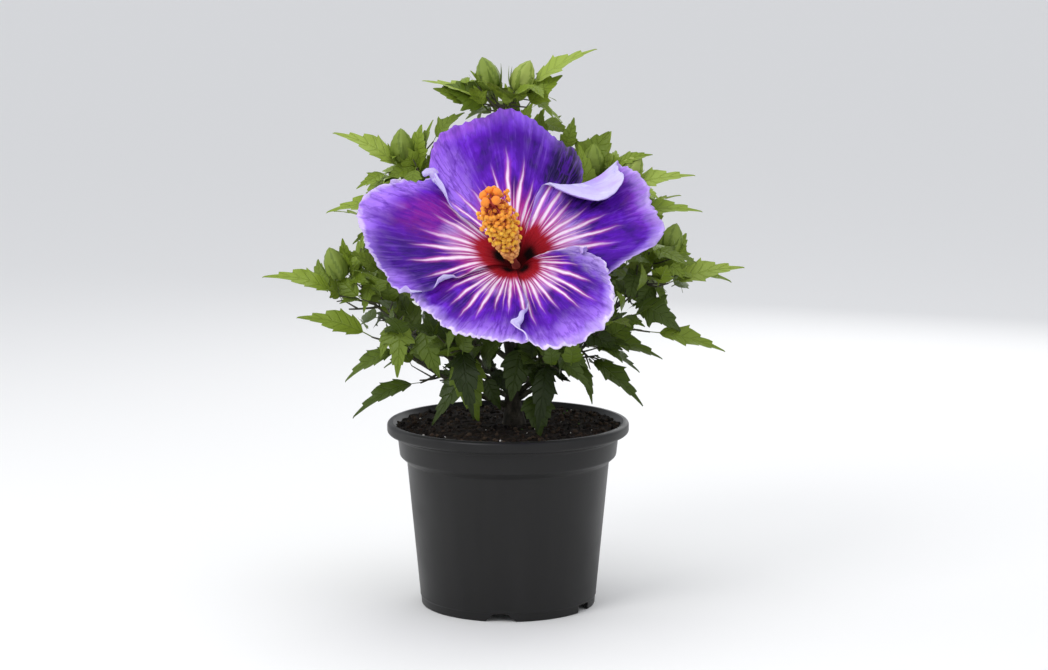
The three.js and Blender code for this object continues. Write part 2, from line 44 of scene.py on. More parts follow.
goldenAngle = math.radians(137.5)


# small helpers

def lerp(first, second, share):
    return first + (second - first) * share


def bell(value, width):
    return math.exp(-(value / width) ** 2)


def dice(seed):  # seeded numbers from 0 to 1
    state = [seed]

    def roll():
        state[0] = state[0] * 16807 % 2147483647
        return state[0] / 2147483647

    return roll


def evenly(points, count):  # the same line again, in steps of equal length
    reached = [0]
    for first, second in zip(points, points[1:]):
        reached.append(reached[-1] + (second - first).length)
    even, piece = [], 0
    for step in range(count + 1):
        wanted = reached[-1] * step / count
        while piece < len(points) - 2 and reached[piece + 1] < wanted:
            piece += 1
        share = (wanted - reached[piece]) / max(reached[piece + 1] - reached[piece], 1e-9)
        even.append(points[piece].lerp(points[piece + 1], share))
    return even


def smoothLine(points, steps=24):  # a centripetal Catmull-Rom line through the points
    ends = [2 * points[0] - points[1], *points, 2 * points[-1] - points[-2]]
    line = []
    for start in range(len(points) - 1):
        knots = [0]
        for first, second in zip(ends[start:], ends[start + 1:start + 4]):
            knots.append(knots[-1] + (second - first).length ** 0.5)
        for step in range(steps):
            at = lerp(knots[1], knots[2], step / steps)
            layer = ends[start:start + 4]
            for wide in (1, 2):
                layer = [layer[k].lerp(layer[k + 1], (at - knots[k]) / (knots[k + wide] - knots[k]))
                         for k in range(len(layer) - 1)]
            line.append(layer[0].lerp(layer[1], (at - knots[1]) / (knots[2] - knots[1])))
    return [*line, points[-1]]


def bentLine(start, middle, end, steps=60):  # a quadratic Bezier line
    shares = [step / steps for step in range(steps + 1)]
    return [start.lerp(middle, share).lerp(middle.lerp(end, share), share) for share in shares]


def pointAlong(line, share):
    place = min(max(share, 0), 1) * (len(line) - 1)
    piece = min(int(place), len(line) - 2)
    return line[piece].lerp(line[piece + 1], place - piece)


def directionAlong(line, share):
    return (pointAlong(line, share + 0.01) - pointAlong(line, share - 0.01)).normalized()


def part(line, start, end, steps=24):
    return [pointAlong(line, lerp(start, end, step / steps)) for step in range(steps + 1)]


# materials

def addNode(tree, kind, inputs=None, **settings):
    node = tree.nodes.new("ShaderNode" + kind)
    for name, value in settings.items():
        setattr(node, name, value)
    for name, value in (inputs or {}).items():
        socket = node.inputs[name]
        if isinstance(value, bpy.types.NodeSocket):
            tree.links.new(value, socket)
        elif socket.type == "RGBA":
            socket.default_value = (*value[:3], 1)
        else:
            socket.default_value = value
    return node


def calc(tree, operation, *values):
    return addNode(tree, "Math", dict(enumerate(values)), operation=operation).outputs[0]


def times(tree, first, second):
    return calc(tree, "MULTIPLY", first, second)


def plus(tree, first, second):
    return calc(tree, "ADD", first, second)


def centred(tree, value, amount):  # a noise round 0 instead of round a half
    return times(tree, calc(tree, "SUBTRACT", value, 0.5), amount)


def fade(tree, value, start, end, low=0, high=1):
    limits = {"Value": value, "From Min": start, "From Max": end, "To Min": low, "To Max": high}
    return addNode(tree, "MapRange", limits, interpolation_type="SMOOTHSTEP").outputs[0]


def mixColour(tree, share, first, second):
    return addNode(tree, "Mix", {0: share, 6: first, 7: second}, data_type="RGBA").outputs[2]


def ramp(tree, value, stops):
    node = addNode(tree, "ValToRGB", {0: value})
    elements = node.color_ramp.elements
    elements[0].position, elements[1].position = stops[0][0], stops[-1][0]
    elements[0].color, elements[1].color = (*stops[0][1], 1), (*stops[-1][1], 1)
    for place, colour in stops[1:-1]:
        elements.new(place).color = (*colour, 1)
    return node.outputs[0]


def grain(tree, scale, detail=4, stretch=(1, 1, 1)):
    place = addNode(tree, "TexCoord").outputs["Object"]
    mapping = addNode(tree, "Mapping", {"Vector": place, "Scale": stretch})
    inputs = {"Vector": mapping.outputs[0], "Scale": scale, "Detail": detail}
    return addNode(tree, "TexNoise", inputs).outputs[0]


def newMaterial(name, colour=None, **sockets):
    material = bpy.data.materials.new(name)
    material.use_nodes = True
    shader = material.node_tree.nodes["Principled BSDF"]
    if colour:
        shader.inputs["Base Color"].default_value = (*colour, 1)
    for socket, value in sockets.items():
        shader.inputs[socket.replace("_", " ")].default_value = value
    return material, material.node_tree, shader


def addBump(tree, shader, height, strength, distance):
    bump = addNode(tree, "Bump", {"Height": height, "Strength": strength, "Distance": distance})
    tree.links.new(bump.outputs[0], shader.inputs["Normal"])


def plainFinishes(colours, relief, **sockets):  # one plain colour each, all with the same grain in relief
    materials = []
    for name, colour in colours.items():
        material, tree, shader = newMaterial(name, colour, **sockets)
        height = grain(tree, relief["scale"], relief["detail"], relief.get("stretch", (1, 1, 1)))
        addBump(tree, shader, height, relief["strength"], relief["distance"])
        materials.append(material)
    return materials


def numbered(name, colours):
    return {f"{name}{number}": colour for number, colour in enumerate(colours)}


# pieces

def tubes(lines, ring):  # one mesh of round tubes, from (points, radii, material index)
    curve = bpy.data.curves.new("tubes", "CURVE")
    curve.dimensions = "3D"
    curve.bevel_depth = 1
    curve.bevel_resolution = ring
    curve.use_fill_caps = True
    for points, radii, index in lines:
        spline = curve.splines.new("POLY")
        spline.points.add(len(points) - 1)
        spline.material_index = index
        for knot, place, radius in zip(spline.points, points, radii):
            knot.co, knot.radius = (*place, 1), radius
    holder = bpy.data.objects.new("tubes", curve)
    mesh = bpy.data.meshes.new_from_object(holder)
    bpy.data.objects.remove(holder)
    bpy.data.curves.remove(curve)
    shape = bmesh.new()
    shape.from_mesh(mesh)
    bpy.data.meshes.remove(mesh)
    return shape


def turned(profile, steps):  # a profile of (radius, height) spun round the Z axis
    shape = bmesh.new()
    points = [shape.verts.new((radius, 0, height)) for radius, height in profile]
    edges = [shape.edges.new(pair) for pair in zip(points, points[1:])]
    bmesh.ops.spin(shape, geom=points + edges, axis=(0, 0, 1), cent=(0, 0, 0), angle=2 * math.pi,
                   steps=steps, use_merge=True)
    bmesh.ops.remove_doubles(shape, verts=shape.verts, dist=1e-4)
    bmesh.ops.recalc_face_normals(shape, faces=shape.faces)
    return shape


def addPiece(name, shape, materials, nodes, sharp=None):
    bmesh.ops.scale(shape, vec=(mm, mm, mm), verts=shape.verts)
    mesh = bpy.data.meshes.new(name)
    shape.to_mesh(mesh)
    shape.free()
    for material in materials:
        mesh.materials.append(material)
    mesh.polygons.foreach_set("use_smooth", [True] * len(mesh.polygons))
    if sharp:
        mesh.set_sharp_from_angle(angle=math.radians(sharp))
    piece = bpy.data.objects.new(name, mesh)
    bpy.context.scene.collection.objects.link(piece)
    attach(piece, "root")
    if nodes:
        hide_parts(*nodes)
    print("made", name, len(mesh.polygons), "faces")
    return piece


def stamp(shape, template, matrix, index):  # adds a copy of a template, placed by a matrix
    before = len(shape.verts), len(shape.faces)
    shape.from_mesh(template)
    shape.verts.ensure_lookup_table()
    shape.faces.ensure_lookup_table()
    bmesh.ops.transform(shape, matrix=matrix, verts=shape.verts[before[0]:])
    for face in shape.faces[before[1]:]:
        face.material_index += index


def makeTemplate(name, shape):
    mesh = bpy.data.meshes.new(name)
    shape.to_mesh(mesh)
    shape.free()
    return mesh


def tapered(first, last, steps, flare=0, fall=3):  # radii along a tube, wider near its foot
    return [lerp(first, last, step / steps) + flare * math.exp(-step / fall) for step in range(steps + 1)]


def around(angle):
    return Vector((math.cos(angle), math.sin(angle), 0))


def frameAt(origin, side, along, face, scale):
    matrix = Matrix.Identity(4)
    for column, axis in enumerate((side, along, face)):
        matrix.col[column].xyz = axis * scale[column]
    matrix.translation = origin
    return matrix


# camera, light and floor

camera = {
    "target": (11.2, 0, 190.6), "distance": 1800, "pitch": 8.5, "lens": 88.3, "sensor": 36,
    "nearest": 0.01,
}
pitch = math.radians(camera["pitch"])
eye = bpy.data.objects.new("photoView", bpy.data.cameras.new("photoView"))
eye.data.lens, eye.data.sensor_width = camera["lens"], camera["sensor"]
eye.data.clip_start = camera["nearest"]
back = Vector((0, -math.cos(pitch), math.sin(pitch))) * camera["distance"]
eye.location = (Vector(camera["target"]) + back) * mm
eye.rotation_euler = (math.pi / 2 - pitch, 0, 0)
bpy.context.scene.collection.objects.link(eye)
bpy.context.scene.camera = eye
bpy.context.scene.view_settings.view_transform = "Standard"

studio = {
    "aim": (0, 0, 0.22), "sky": (0.93, 0.95, 1, 1), "skyStrength": 0.8,
    "floorSize": 60, "floorColour": (0.88, 0.875, 0.86),
}
lamps = {
    "key": {"place": (-0.75, -0.95, 1.15), "size": 0.6, "power": 8},
    "fill": {"place": (1.1, -0.8, 0.6), "size": 1.0, "power": 1.4},
    "top": {"place": (0.1, 0.1, 1.35), "size": 0.9, "power": 3.4},
    "rear": {"place": (0.5, 1.2, 0.7), "size": 0.9, "power": 3},
    "side": {"place": (-1.3, 0.1, 0.5), "size": 0.7, "power": 2},
}
for name, lamp in lamps.items():
    light = bpy.data.lights.new(name, "AREA")
    light.energy, light.size = lamp["power"], lamp["size"]
    holder = bpy.data.objects.new(name, light)
    holder.location = lamp["place"]
    towards = Vector(studio["aim"]) - Vector(lamp["place"])
    holder.rotation_euler = towards.to_track_quat("-Z", "Y").to_euler()
    bpy.context.scene.collection.objects.link(holder)

world = bpy.data.worlds.new("studio")
bpy.context.scene.world = world
world.use_nodes = True
sky = world.node_tree.nodes["Background"]
sky.inputs["Color"].default_value = studio["sky"]
sky.inputs["Strength"].default_value = studio["skyStrength"]

floorShape = bmesh.new()
bmesh.ops.create_grid(floorShape, x_segments=1, y_segments=1, size=studio["floorSize"])
floor = bpy.data.objects.new("studioFloor", makeTemplate("studioFloor", floorShape))
floor.data.materials.append(newMaterial("paleFloor", studio["floorColour"], Roughness=0.8)[0])
bpy.context.scene.collection.objects.link(floor)
print("camera and light are set")


# the bloom's own space: x to its right, y up its face, z out along its axis

bloom = {
    "throat": (5, -65, 252), "lift": 31.5, "turn": 5,
    "cupDepth": 18, "cupRise": 26, "cupSpread": 12, "leanMiddle": 0.14, "leanSwing": 0.2,
    "clear": 7, "reach": 113,
}
bloomFrame = (Matrix.Translation(bloom["throat"])
              @ Matrix.Rotation(math.radians(-bloom["turn"]), 4, "Z")
              @ Matrix.Rotation(math.pi / 2 - math.radians(bloom["lift"]), 4, "X"))
bloomInverse = bloomFrame.inverted()
bloomAxis = (bloomFrame.to_3x3() @ up).normalized()


def cupHeight(angle, radius):
    cup = bloom["cupRise"] * (1 - math.exp(-radius / bloom["cupSpread"])) - bloom["cupDepth"]
    return cup + radius * (bloom["leanMiddle"] - bloom["leanSwing"] * math.sin(angle))


# pot

pot = {
    "height": 130, "rimRadius": 85, "rimDepth": 8, "rimWidth": 4.5, "rimRound": 1.4,
    "collarRadius": 77.6, "collarDraft": 1.4, "collarHeight": 23.5,
    "shoulderRadius": 71.4, "shoulderHeight": 4.5, "footRadius": 61.4, "footRecess": 6,
    "wall": 2, "padRadius": 34, "padFlank": 2, "bead": 1, "footLine": 6.5, "steps": 128,
    "softened": 0.9, "sharpAngle": 40,
    "notchHeight": 5.6, "notchDepth": 12, "notchInset": 8, "notchRound": 1.6,
    "arches": {"angles": (-4.6, 175.4), "foot": 25, "top": 9},
    "slots": {"angles": (59, 90, 149, 211, -90), "foot": 13, "top": 13},
    "dark": (0.005, 0.0049, 0.005), "light": (0.01, 0.0097, 0.0098),
}
collarTop = pot["height"] - pot["rimDepth"]
collarBottom = pot["height"] - pot["collarHeight"]
shoulderTop = collarBottom - pot["shoulderHeight"]


def rounded(points, radius, steps=3):  # rounds each inner corner of a profile
    smooth = [points[0]]
    for before, corner, after in zip(points, points[1:], points[2:]):
        corner = Vector(corner)
        sides = [Vector(before) - corner, Vector(after) - corner]
        cut = min(radius, 0.45 * sides[0].length, 0.45 * sides[1].length)
        start, end = (corner + side.normalized() * cut for side in sides)
        smooth += [tuple(start.lerp(corner, share).lerp(corner.lerp(end, share), share))
                   for share in (step / steps for step in range(steps + 1))]
    return [*smooth, points[-1]]


def outerWall():
    foot, shoulder, collar, rim = (pot[name] for name in ("footRadius", "shoulderRadius", "collarRadius",
                                                          "rimRadius"))
    lineRadius = lerp(foot, shoulder, pot["footLine"] / shoulderTop)
    return [
        (0, 0), (pot["padRadius"], 0), (pot["padRadius"] + pot["padFlank"], pot["footRecess"]),
        (foot - pot["wall"], pot["footRecess"]), (foot - pot["wall"], 0), (foot, 0),
        (lineRadius - 0.2, pot["footLine"] - 0.8), (lineRadius + 0.35, pot["footLine"]),
        (lineRadius + 0.3, pot["footLine"] + 1.4), (shoulder - 0.2, shoulderTop),
        (collar - pot["collarDraft"], collarBottom), (collar, collarTop - 3 * pot["bead"]),
        (collar + pot["bead"], collarTop - 2 * pot["bead"]), (collar + pot["bead"], collarTop),
        (rim - pot["rimRound"], collarTop), (rim, collarTop + pot["rimRound"]),
        (rim, pot["height"] - pot["rimRound"]), (rim - pot["rimRound"], pot["height"]),
        (rim - pot["rimWidth"] + pot["rimRound"] / 2, pot["height"]),
    ]


def innerWall(clear):
    floorHeight = pot["footRecess"] + pot["wall"] + clear
    return [
        (pot["rimRadius"] - pot["rimWidth"] - clear, pot["height"] - pot["rimRound"]),
        (pot["collarRadius"] - pot["wall"] - clear, collarTop + pot["wall"]),
        (pot["collarRadius"] - pot["collarDraft"] - pot["wall"] - clear, collarBottom),
        (pot["shoulderRadius"] - pot["wall"] - clear, shoulderTop),
        (pot["footRadius"] - pot["wall"] / 2 - clear, floorHeight),
        (pot["padRadius"] + pot["padFlank"] - pot["wall"] - clear, floorHeight),
        (pot["padRadius"] - pot["wall"] - clear, pot["wall"] + clear),
        (0, pot["wall"] + clear),
    ]


def notchCutter(kind, angle):
    shape = bmesh.new()
    bmesh.ops.create_cube(shape, size=1)
    for corner in shape.verts:
        width = kind["foot"] if corner.co.z < 0 else kind["top"]
        corner.co.x *= width
        corner.co.y = corner.co.y * pot["notchDepth"] - pot["footRadius"] + pot["notchInset"] / 4
        corner.co.z = -1 if corner.co.z < 0 else pot["notchHeight"]
    bottom = [edge for edge in shape.edges if abs(edge.verts[0].co.y - edge.verts[1].co.y) > 1
              and edge.verts[0].co.z > 0]
    bmesh.ops.bevel(shape, geom=bottom, offset=pot["notchRound"], segments=4, profile=0.5,
                    affect="EDGES", material=-1)
    bmesh.ops.rotate(shape, matrix=Matrix.Rotation(math.radians(angle), 3, "Z"), verts=shape.verts)
    return shape


def cutNotches(shape):
    cutters = bmesh.new()
    for kind in (pot["arches"], pot["slots"]):
        for angle in kind["angles"]:
            cutter = makeTemplate("cutter", notchCutter(kind, angle))
            cutters.from_mesh(cutter)
            bpy.data.meshes.remove(cutter)
    holders = []
    for name, body in (("potBody", shape), ("potCutters", cutters)):
        holder = bpy.data.objects.new(name, makeTemplate(name, body))
        bpy.context.scene.collection.objects.link(holder)
        holders.append(holder)
    cut = holders[0].modifiers.new("notches", "BOOLEAN")
    cut.operation, cut.solver, cut.object = "DIFFERENCE", "EXACT", holders[1]
    bpy.context.view_layer.update()
    graph = bpy.context.evaluated_depsgraph_get()
    result = bmesh.new()
    result.from_mesh(bpy.data.meshes.new_from_object(holders[0].evaluated_get(graph)))
    for holder in holders:
        bpy.data.objects.remove(holder)
    return result


def potFinish():
    material, tree, shader = newMaterial("charcoalPlastic", Specular_IOR_Level=0.3)
    cloud = grain(tree, 18, 5)
    fine = grain(tree, 900, 3)
    streak = grain(tree, 60, 3, (1, 1, 0.06))
    tone = calc(tree, "MULTIPLY_ADD", streak, 0.5, times(tree, cloud, 0.5))
    colour = ramp(tree, tone, [(0.3, pot["dark"]), (0.7, pot["light"])])
    tree.links.new(colour, shader.inputs["Base Color"])
    rough = fade(tree, cloud, 0.3, 0.75, 0.37, 0.52)
    tree.links.new(rough, shader.inputs["Roughness"])
    addBump(tree, shader, fine, 0.12, 0.0004)
    return material


potProfile = [*rounded(outerWall(), pot["softened"]), *rounded(innerWall(0), pot["softened"])]
addPiece("nurseryPot", cutNotches(turned(potProfile, pot["steps"])), [potFinish()], ["pot"],
         sharp=pot["sharpAngle"])


# soil

soil = {
    "top": 127.5, "mound": 1, "moundRadius": 14, "rows": 40, "steps": 190,
    "moundSlope": 60, "sunk": 0.7, "levelRadius": 7, "levelRun": 6,
    "lumps": [(11, 1.6), (4.3, 1.1), (1.9, 0.6)],  # how wide and how high
    "crumbs": 900, "crumbSizes": (0.7, 2.6), "crumbMargin": 3.5, "stemRoom": 12, "seed": 5,
    "perlite": 20, "specks": 10, "speckSizes": (0.55, 1.15), "dentScale": 0.9, "dents": 0.25, "lift": 0.15,
    "ground": [
        (0.35, (0.003, 0.002, 0.0015)), (0.55, (0.012, 0.008, 0.005)), (0.75, (0.035, 0.023, 0.014)),
    ],
    "colours": {
        "darkCrumb": (0.006, 0.004, 0.003), "brownCrumb": (0.018, 0.011, 0.007),
        "paleCrumb": (0.045, 0.03, 0.019), "perliteGrain": (0.52, 0.5, 0.46),
        "mossSpeck": (0.06, 0.13, 0.02),
    },
    "relief": {"scale": 1500, "detail": 3, "strength": 0.5, "distance": 0.0003},
}
ground = soil["top"] + soil["mound"] + gap


def soilHeight(x, y):
    radius = math.hypot(x, y)
    place = Vector((x, y, 0))
    mound = soil["mound"] * max(0, 1 - max(0, radius - soil["moundRadius"]) / soil["moundSlope"])
    lumps = sum(high * noise.noise(place / wide) for wide, high in soil["lumps"])
    rough = min(1, max(0, radius - soil["levelRadius"]) / soil["levelRun"])
    return soil["top"] + mound - soil["sunk"] + lumps * rough


def makeSoil():
    rim, collar, *lower = innerWall(gap)
    edge = lerp(collar[0], rim[0], (soil["top"] - collar[1]) / (rim[1] - collar[1]))
    sides = [*lower[::-1], collar]
    top = [(edge * (1 - row / soil["rows"]), soil["top"]) for row in range(soil["rows"] + 1)]
    shape = turned([*sides, *top], soil["steps"])
    for vert in shape.verts:
        if vert.co.z > soil["top"] - 1:
            vert.co.z = soilHeight(vert.co.x, vert.co.y)
    material, tree, shader = newMaterial("darkCompost", Roughness=1, Specular_IOR_Level=0.15)
    tone = grain(tree, 420, 6)
    tree.links.new(ramp(tree, tone, soil["ground"]), shader.inputs["Base Color"])
    addBump(tree, shader, tone, 0.8, 0.0012)
    addPiece("compost", shape, [material], ["soil"])


def makeCrumbs():
    random = dice(soil["seed"])
    ball = bmesh.new()
    bmesh.ops.create_icosphere(ball, subdivisions=1, radius=1)
    template = makeTemplate("crumb", ball)
    shape = bmesh.new()
    materials = plainFinishes(soil["colours"], soil["relief"], Roughness=0.95, Specular_IOR_Level=0.2)
    limit = pot["rimRadius"] - pot["rimWidth"] - soil["crumbMargin"]
    for count in range(soil["crumbs"] + soil["perlite"] + soil["specks"]):
        angle, radius = 2 * math.pi * random(), limit * random() ** 0.5
        x, y = radius * math.cos(angle), radius * math.sin(angle)
        size = lerp(*soil["crumbSizes"], random() ** 2.5)
        index = min(2, int(random() * 3))
        if count >= soil["crumbs"]:
            size = lerp(*soil["speckSizes"], random())
            index = 3 if count < soil["crumbs"] + soil["perlite"] else 4
        spin = Matrix.Rotation(6 * random(), 4, Vector((random() - 0.5, random() - 0.5, random() - 0.5)))
        squash = Matrix.Diagonal((size, size * lerp(0.5, 1, random()), size * lerp(0.4, 0.9, random()), 1))
        if math.hypot(x - trunk["foot"][0], y) < soil["stemRoom"]:
            continue
        place = Matrix.Translation((x, y, soilHeight(x, y) + soil["lift"] * size))
        stamp(shape, template, place @ spin @ squash, index)
    bpy.data.meshes.remove(template)
    noise.seed_set(soil["seed"])  # without it this kind of noise is another one in each run
    for vert in shape.verts:
        vert.co += noise.noise_vector(vert.co * soil["dentScale"]) * soil["dents"]
    addPiece("compostCrumbs", shape, materials, [])


trunk = {
    "foot": (4, 0, ground), "bends": [(1, 4, 190), (-2, 9, 270)], "tip": (-3, 13, 334),
    "radius": 5.4, "tipRadius": 1.5, "taper": 0.8, "flare": 3, "flareHeight": 12,
    "relief": 0.45, "reliefSize": 2.6, "rings": 260, "sunk": 3, "footSpread": 0.4,
}
makeSoil()
makeCrumbs()


# the growth rule of the limbs

trunkPath = [Vector(place) for place in (trunk["foot"], *trunk["bends"], trunk["tip"])]
trunkLine = evenly(smoothLine(trunkPath), 200)
trunkLength = sum((b - a).length for a, b in zip(trunkLine, trunkLine[1:]))
limbs = {
    "boughRadius": 2.1, "stemRadius": 1.5, "stemTipRadius": 0.8, "sag": 0.1,
    "relief": 0.22, "reliefSize": 1.8, "flare": 1.1, "steps": 60,
}
leaves = {
    "shares": (0, 0.17, 0.44, 0.74, 1), "halves": (0.09, 0.15, 1, 0.52, 0.03), "width": 0.19,
    "leadWidth": 0.15, "leadLength": 54, "leadLighter": 0.08, "leadAside": 0.6, "backAside": -0.2,
    "lengths": (38, 54), "fold": 0.22, "arch": 0.06, "thick": 0.024, "sink": 0.4, "spacing": 17,
    "lobed": 0.5, "outward": 0.45, "upward": 0.85, "showing": 0.75, "backFrom": 25,
}
# twigs: where they leave a stem, how they turn, and the leaves on each as the share of the twig where
# a leaf sits and how far it goes ahead, aside and up for its length
sprays = {
    "shares": (0.08, 0.95), "uneven": 0.4, "outward": 0.35, "ahead": 0.7, "fanTurn": 1.4,
    "reach": (14, 26), "rise": 0.12, "radii": (0.95, 0.6), "bow": 0.12, "droop": 0.03,
    "leaves": [(1, 0.9, 0, -0.2), (1, 0.45, 0.8, 0), (0.5, 0.4, -0.8, 0)],
    "facing": {"outward": 0.5, "ahead": 0.4, "reach": 0.9},  # one more leaf, across from the twig
}
finer = {  # smaller twigs and leaves, at these shares of each stem, bough and twig
    "stem": (0.06, 0.2, 0.34, 0.48, 0.62, 0.76, 0.9, 1), "bough": (0.45, 0.62, 0.8, 0.95),
    "twig": (0.35, 0.7, 1), "reach": (8, 17), "rise": 0.15, "radii": (0.7, 0.4),
    "lengths": (21, 37), "widths": (0.17, 0.23), "wander": 0.6, "spacing": 8.5, "crownPower": 1.35,
    "lobed": 0.4,
    "leaves": [(1, 0.9, 0, -0.25), (1, 0.5, 0.75, 0), (0.55, 0.4, -0.8, 0), (0.55, 0.3, 0.7, -0.3)],
}
tones = {  # 0 for old dark leaves low and deep inside, also painted shade there, 1 for young ones at the top and outside, also painted light there
    "low": 150, "rise": 230, "reach": 150, "byHeight": 0.68, "byReach": 0.48, "darker": 0.05,
    "spread": 0.24,
}
room = {
    "share": 0.9, "limb": 0.8, "pot": 3,
    "crownMiddle": Vector((0, 12, 240)), "crownReach": (138, 132, 145), "crownDrop": 104, "crownPower": 1.5,
}
bud = {"radius": 8.5, "length": 25, "stalk": 1.2, "lift": 1}
stalk = {
    "radius": 1.9, "height": 186, "run": 22, "calyxDepth": 24, "calyxRadius": 9, "petalRoot": 3.2,
    "flare": 0.9, "relief": 0.15, "reliefSize": 1.8, "steps": 40,
}

# Each mass of leaves: where its bough leaves the main stem, the top end of its stem, the share of the
# way where the bough ends, its twigs, the tips of its leading leaves and the middles of its buds.
masses = {
    "left": {
        "seed": 11, "from": 152, "crest": (-108, -4, 226), "enter": 0.5, "twigs": 5,
        "leads": [(0.7, -170, -15, 233), (0.95, -100, 8, 263)], "buds": [(1, -120, -10, 242)],
    },
    "right": {
        "seed": 23, "from": 147, "crest": (106, 2, 246), "enter": 0.5, "twigs": 5,
        "leads": [(0.55, 165, 0, 238), (0.75, 157, 12, 226)], "buds": [(1, 114, 4, 257)],
    },
    "lower_left": {
        "seed": 31, "from": 139, "crest": (-84, -16, 190), "enter": 0.5, "twigs": 4,
        "leads": [(0.15, -107, -32, 137), (0.75, -113, -18, 160), (0.95, -147, -10, 204)], "buds": [],
    },
    "lower_right": {
        "seed": 47, "from": 143, "crest": (73, -14, 206), "enter": 0.5, "twigs": 4,
        "leads": [(0.9, 151, -15, 181), (0.3, 93, -34, 146), (0.6, 108, -4, 174)], "buds": [],
    },
    "front_left": {
        "seed": 53, "from": 158, "crest": (-32, -42, 192), "enter": 0.45, "twigs": 4,
        "leads": [(0.95, -23, -58, 141), (0.35, -52, -42, 134)], "buds": [],
    },
    "front_right": {
        "seed": 61, "from": 163, "crest": (30, -38, 182), "enter": 0.45, "twigs": 4,
        "leads": [(0.8, 20, -50, 131), (0.95, 58, -38, 156)], "buds": [],
    },
    "upper_left": {
        "seed": 71, "from": 236, "crest": (-72, 15, 306), "enter": 0.4, "twigs": 4,
        "leads": [(0.9, -122, 10, 331), (0.35, -128, 20, 274), (0.8, -52, 16, 340)],
        "buds": [(1, -74, 14, 322)],
    },
    "upper_right": {
        "seed": 83, "from": 228, "crest": (60, 15, 296), "enter": 0.4, "twigs": 4,
        "leads": [(0.8, 131, 15, 301), (0.5, 136, 10, 276), (0.95, 72, 18, 332)],
        "buds": [(1, 60, 12, 312), (0.85, 86, 12, 306)],
    },
    "top": {
        "seed": 97, "from": None, "crest": (-2, 12, 357), "enter": 0, "twigs": 3,
        "leads": [(0.8, 62, 15, 389), (0.6, -60, 15, 367), (0.9, 34, 15, 353)],
        "buds": [(1, -14, 14, 372), (0.95, 11, 12, 370)],
    },
    "back_left": {
        "seed": 101, "from": 172, "crest": (-86, 70, 250), "enter": 0.36, "twigs": 5,
        "leads": [(0.9, -128, 92, 268), (0.5, -122, 66, 214)], "buds": [(1, -92, 76, 264)],
    },
    "back_right": {
        "seed": 113, "from": 180, "crest": (84, 72, 258), "enter": 0.36, "twigs": 5,
        "leads": [(0.9, 126, 88, 280), (0.5, 128, 62, 222)], "buds": [],
    },
    "back": {
        "seed": 127, "from": 190, "crest": (2, 106, 232), "enter": 0.36, "twigs": 5,
        "leads": [(0.9, 20, 154, 248), (0.5, -22, 140, 200)], "buds": [(1, 0, 114, 247)],
    },
    "back_low_left": {
        "seed": 131, "from": 146, "crest": (-58, 66, 178), "enter": 0.4, "twigs": 4,
        "leads": [(0.8, -92, 92, 152), (0.95, -90, 66, 190)], "buds": [],
    },
    "back_low_right": {
        "seed": 149, "from": 155, "crest": (62, 58, 180), "enter": 0.4, "twigs": 4,
        "leads": [(0.8, 96, 84, 150), (0.95, 96, 40, 188)], "buds": [],
    },
    "back_top": {
        "seed": 151, "from": 252, "crest": (6, 66, 316), "enter": 0.36, "twigs": 5,
        "leads": [(0.9, 22, 102, 346), (0.5, -40, 92, 306)], "buds": [(1, 6, 72, 332)],
    },
}


def trunkRadiusAt(share):
    flare = trunk["flare"] * math.exp(-share * trunkLength / trunk["flareHeight"])
    return lerp(trunk["radius"], trunk["tipRadius"], share ** trunk["taper"]) + flare


def trunkPoint(height):
    return pointAlong(trunkLine, (height - ground) / (trunk["tip"][2] - ground))


def limbLine(mass):
    end = Vector(mass["crest"])
    if mass["from"] is None:
        along = directionAlong(trunkLine, 0.995)
        start = Vector(trunk["tip"]) + along * gap
        middle = start + along * (end - start).length / 2
    else:
        start = trunkPoint(mass["from"])
        middle = start.lerp(end, 0.5) - up * limbs["sag"] * (end - start).length
    return evenly(bentLine(start, middle, end), 96)


for mass in masses.values():
    whole = limbLine(mass)
    mass["whole"] = whole
    mass["bough"] = part(whole, 0, mass["enter"]) if mass["enter"] else None
    mass["stem"] = part(whole, mass["enter"], 1)

calyxTop = cupHeight(math.pi / 2, stalk["petalRoot"]) - 0.6 - gap
calyxFoot = bloomFrame @ Vector((0, 0, calyxTop - stalk["calyxDepth"]))
stalkEnd = calyxFoot - bloomAxis * gap
stalkBend = stalkEnd - bloomAxis * stalk["run"]
stalkLine = evenly(bentLine(trunkPoint(stalk["height"]), stalkBend, stalkEnd), stalk["steps"])


# room: a leaf belongs to the mass whose frame is nearest, and stays clear of limbs, bloom and pot

def straight(start, end, steps):
    return [start.lerp(end, step / steps) for step in range(steps + 1)]


def treeOf(points):
    tree = kdtree.KDTree(len(points))
    for index, point in enumerate(points):
        tree.insert(point, index)
    tree.balance()
    return tree


def budAxis(root, middle):  # a bud stands more upright than its stalk
    return ((middle - root).normalized() + up * bud["lift"]).normalized()


def frameTree(mass):
    stem = mass["stem"]
    points = part(stem, 0, 1, 8)
    for share, *tip in mass["leads"]:
        points += straight(pointAlong(stem, share), Vector(tip), 8)
    for share, *middle in mass["buds"]:
        root, end = pointAlong(stem, share), Vector(middle)
        points += straight(root, end + budAxis(root, end) * bud["length"] / 2, 6)
    return treeOf(points)


frames = {name: frameTree(mass) for name, mass in masses.items()}
limbPoints = [(pointAlong(trunkLine, i / 60), trunkRadiusAt(i / 60)) for i in range(61)]
limbPoints += [(point, stalk["radius"]) for point in part(stalkLine, 0, 1, 14)]
limbPoints.append((calyxFoot + bloomAxis * stalk["calyxDepth"] / 2, stalk["calyxDepth"] / 2))
for mass in masses.values():
    if mass["bough"]:
        limbPoints += [(point, limbs["boughRadius"]) for point in part(mass["bough"], 0, 1, 16)]
limbTree = treeOf([point for point, radius in limbPoints])


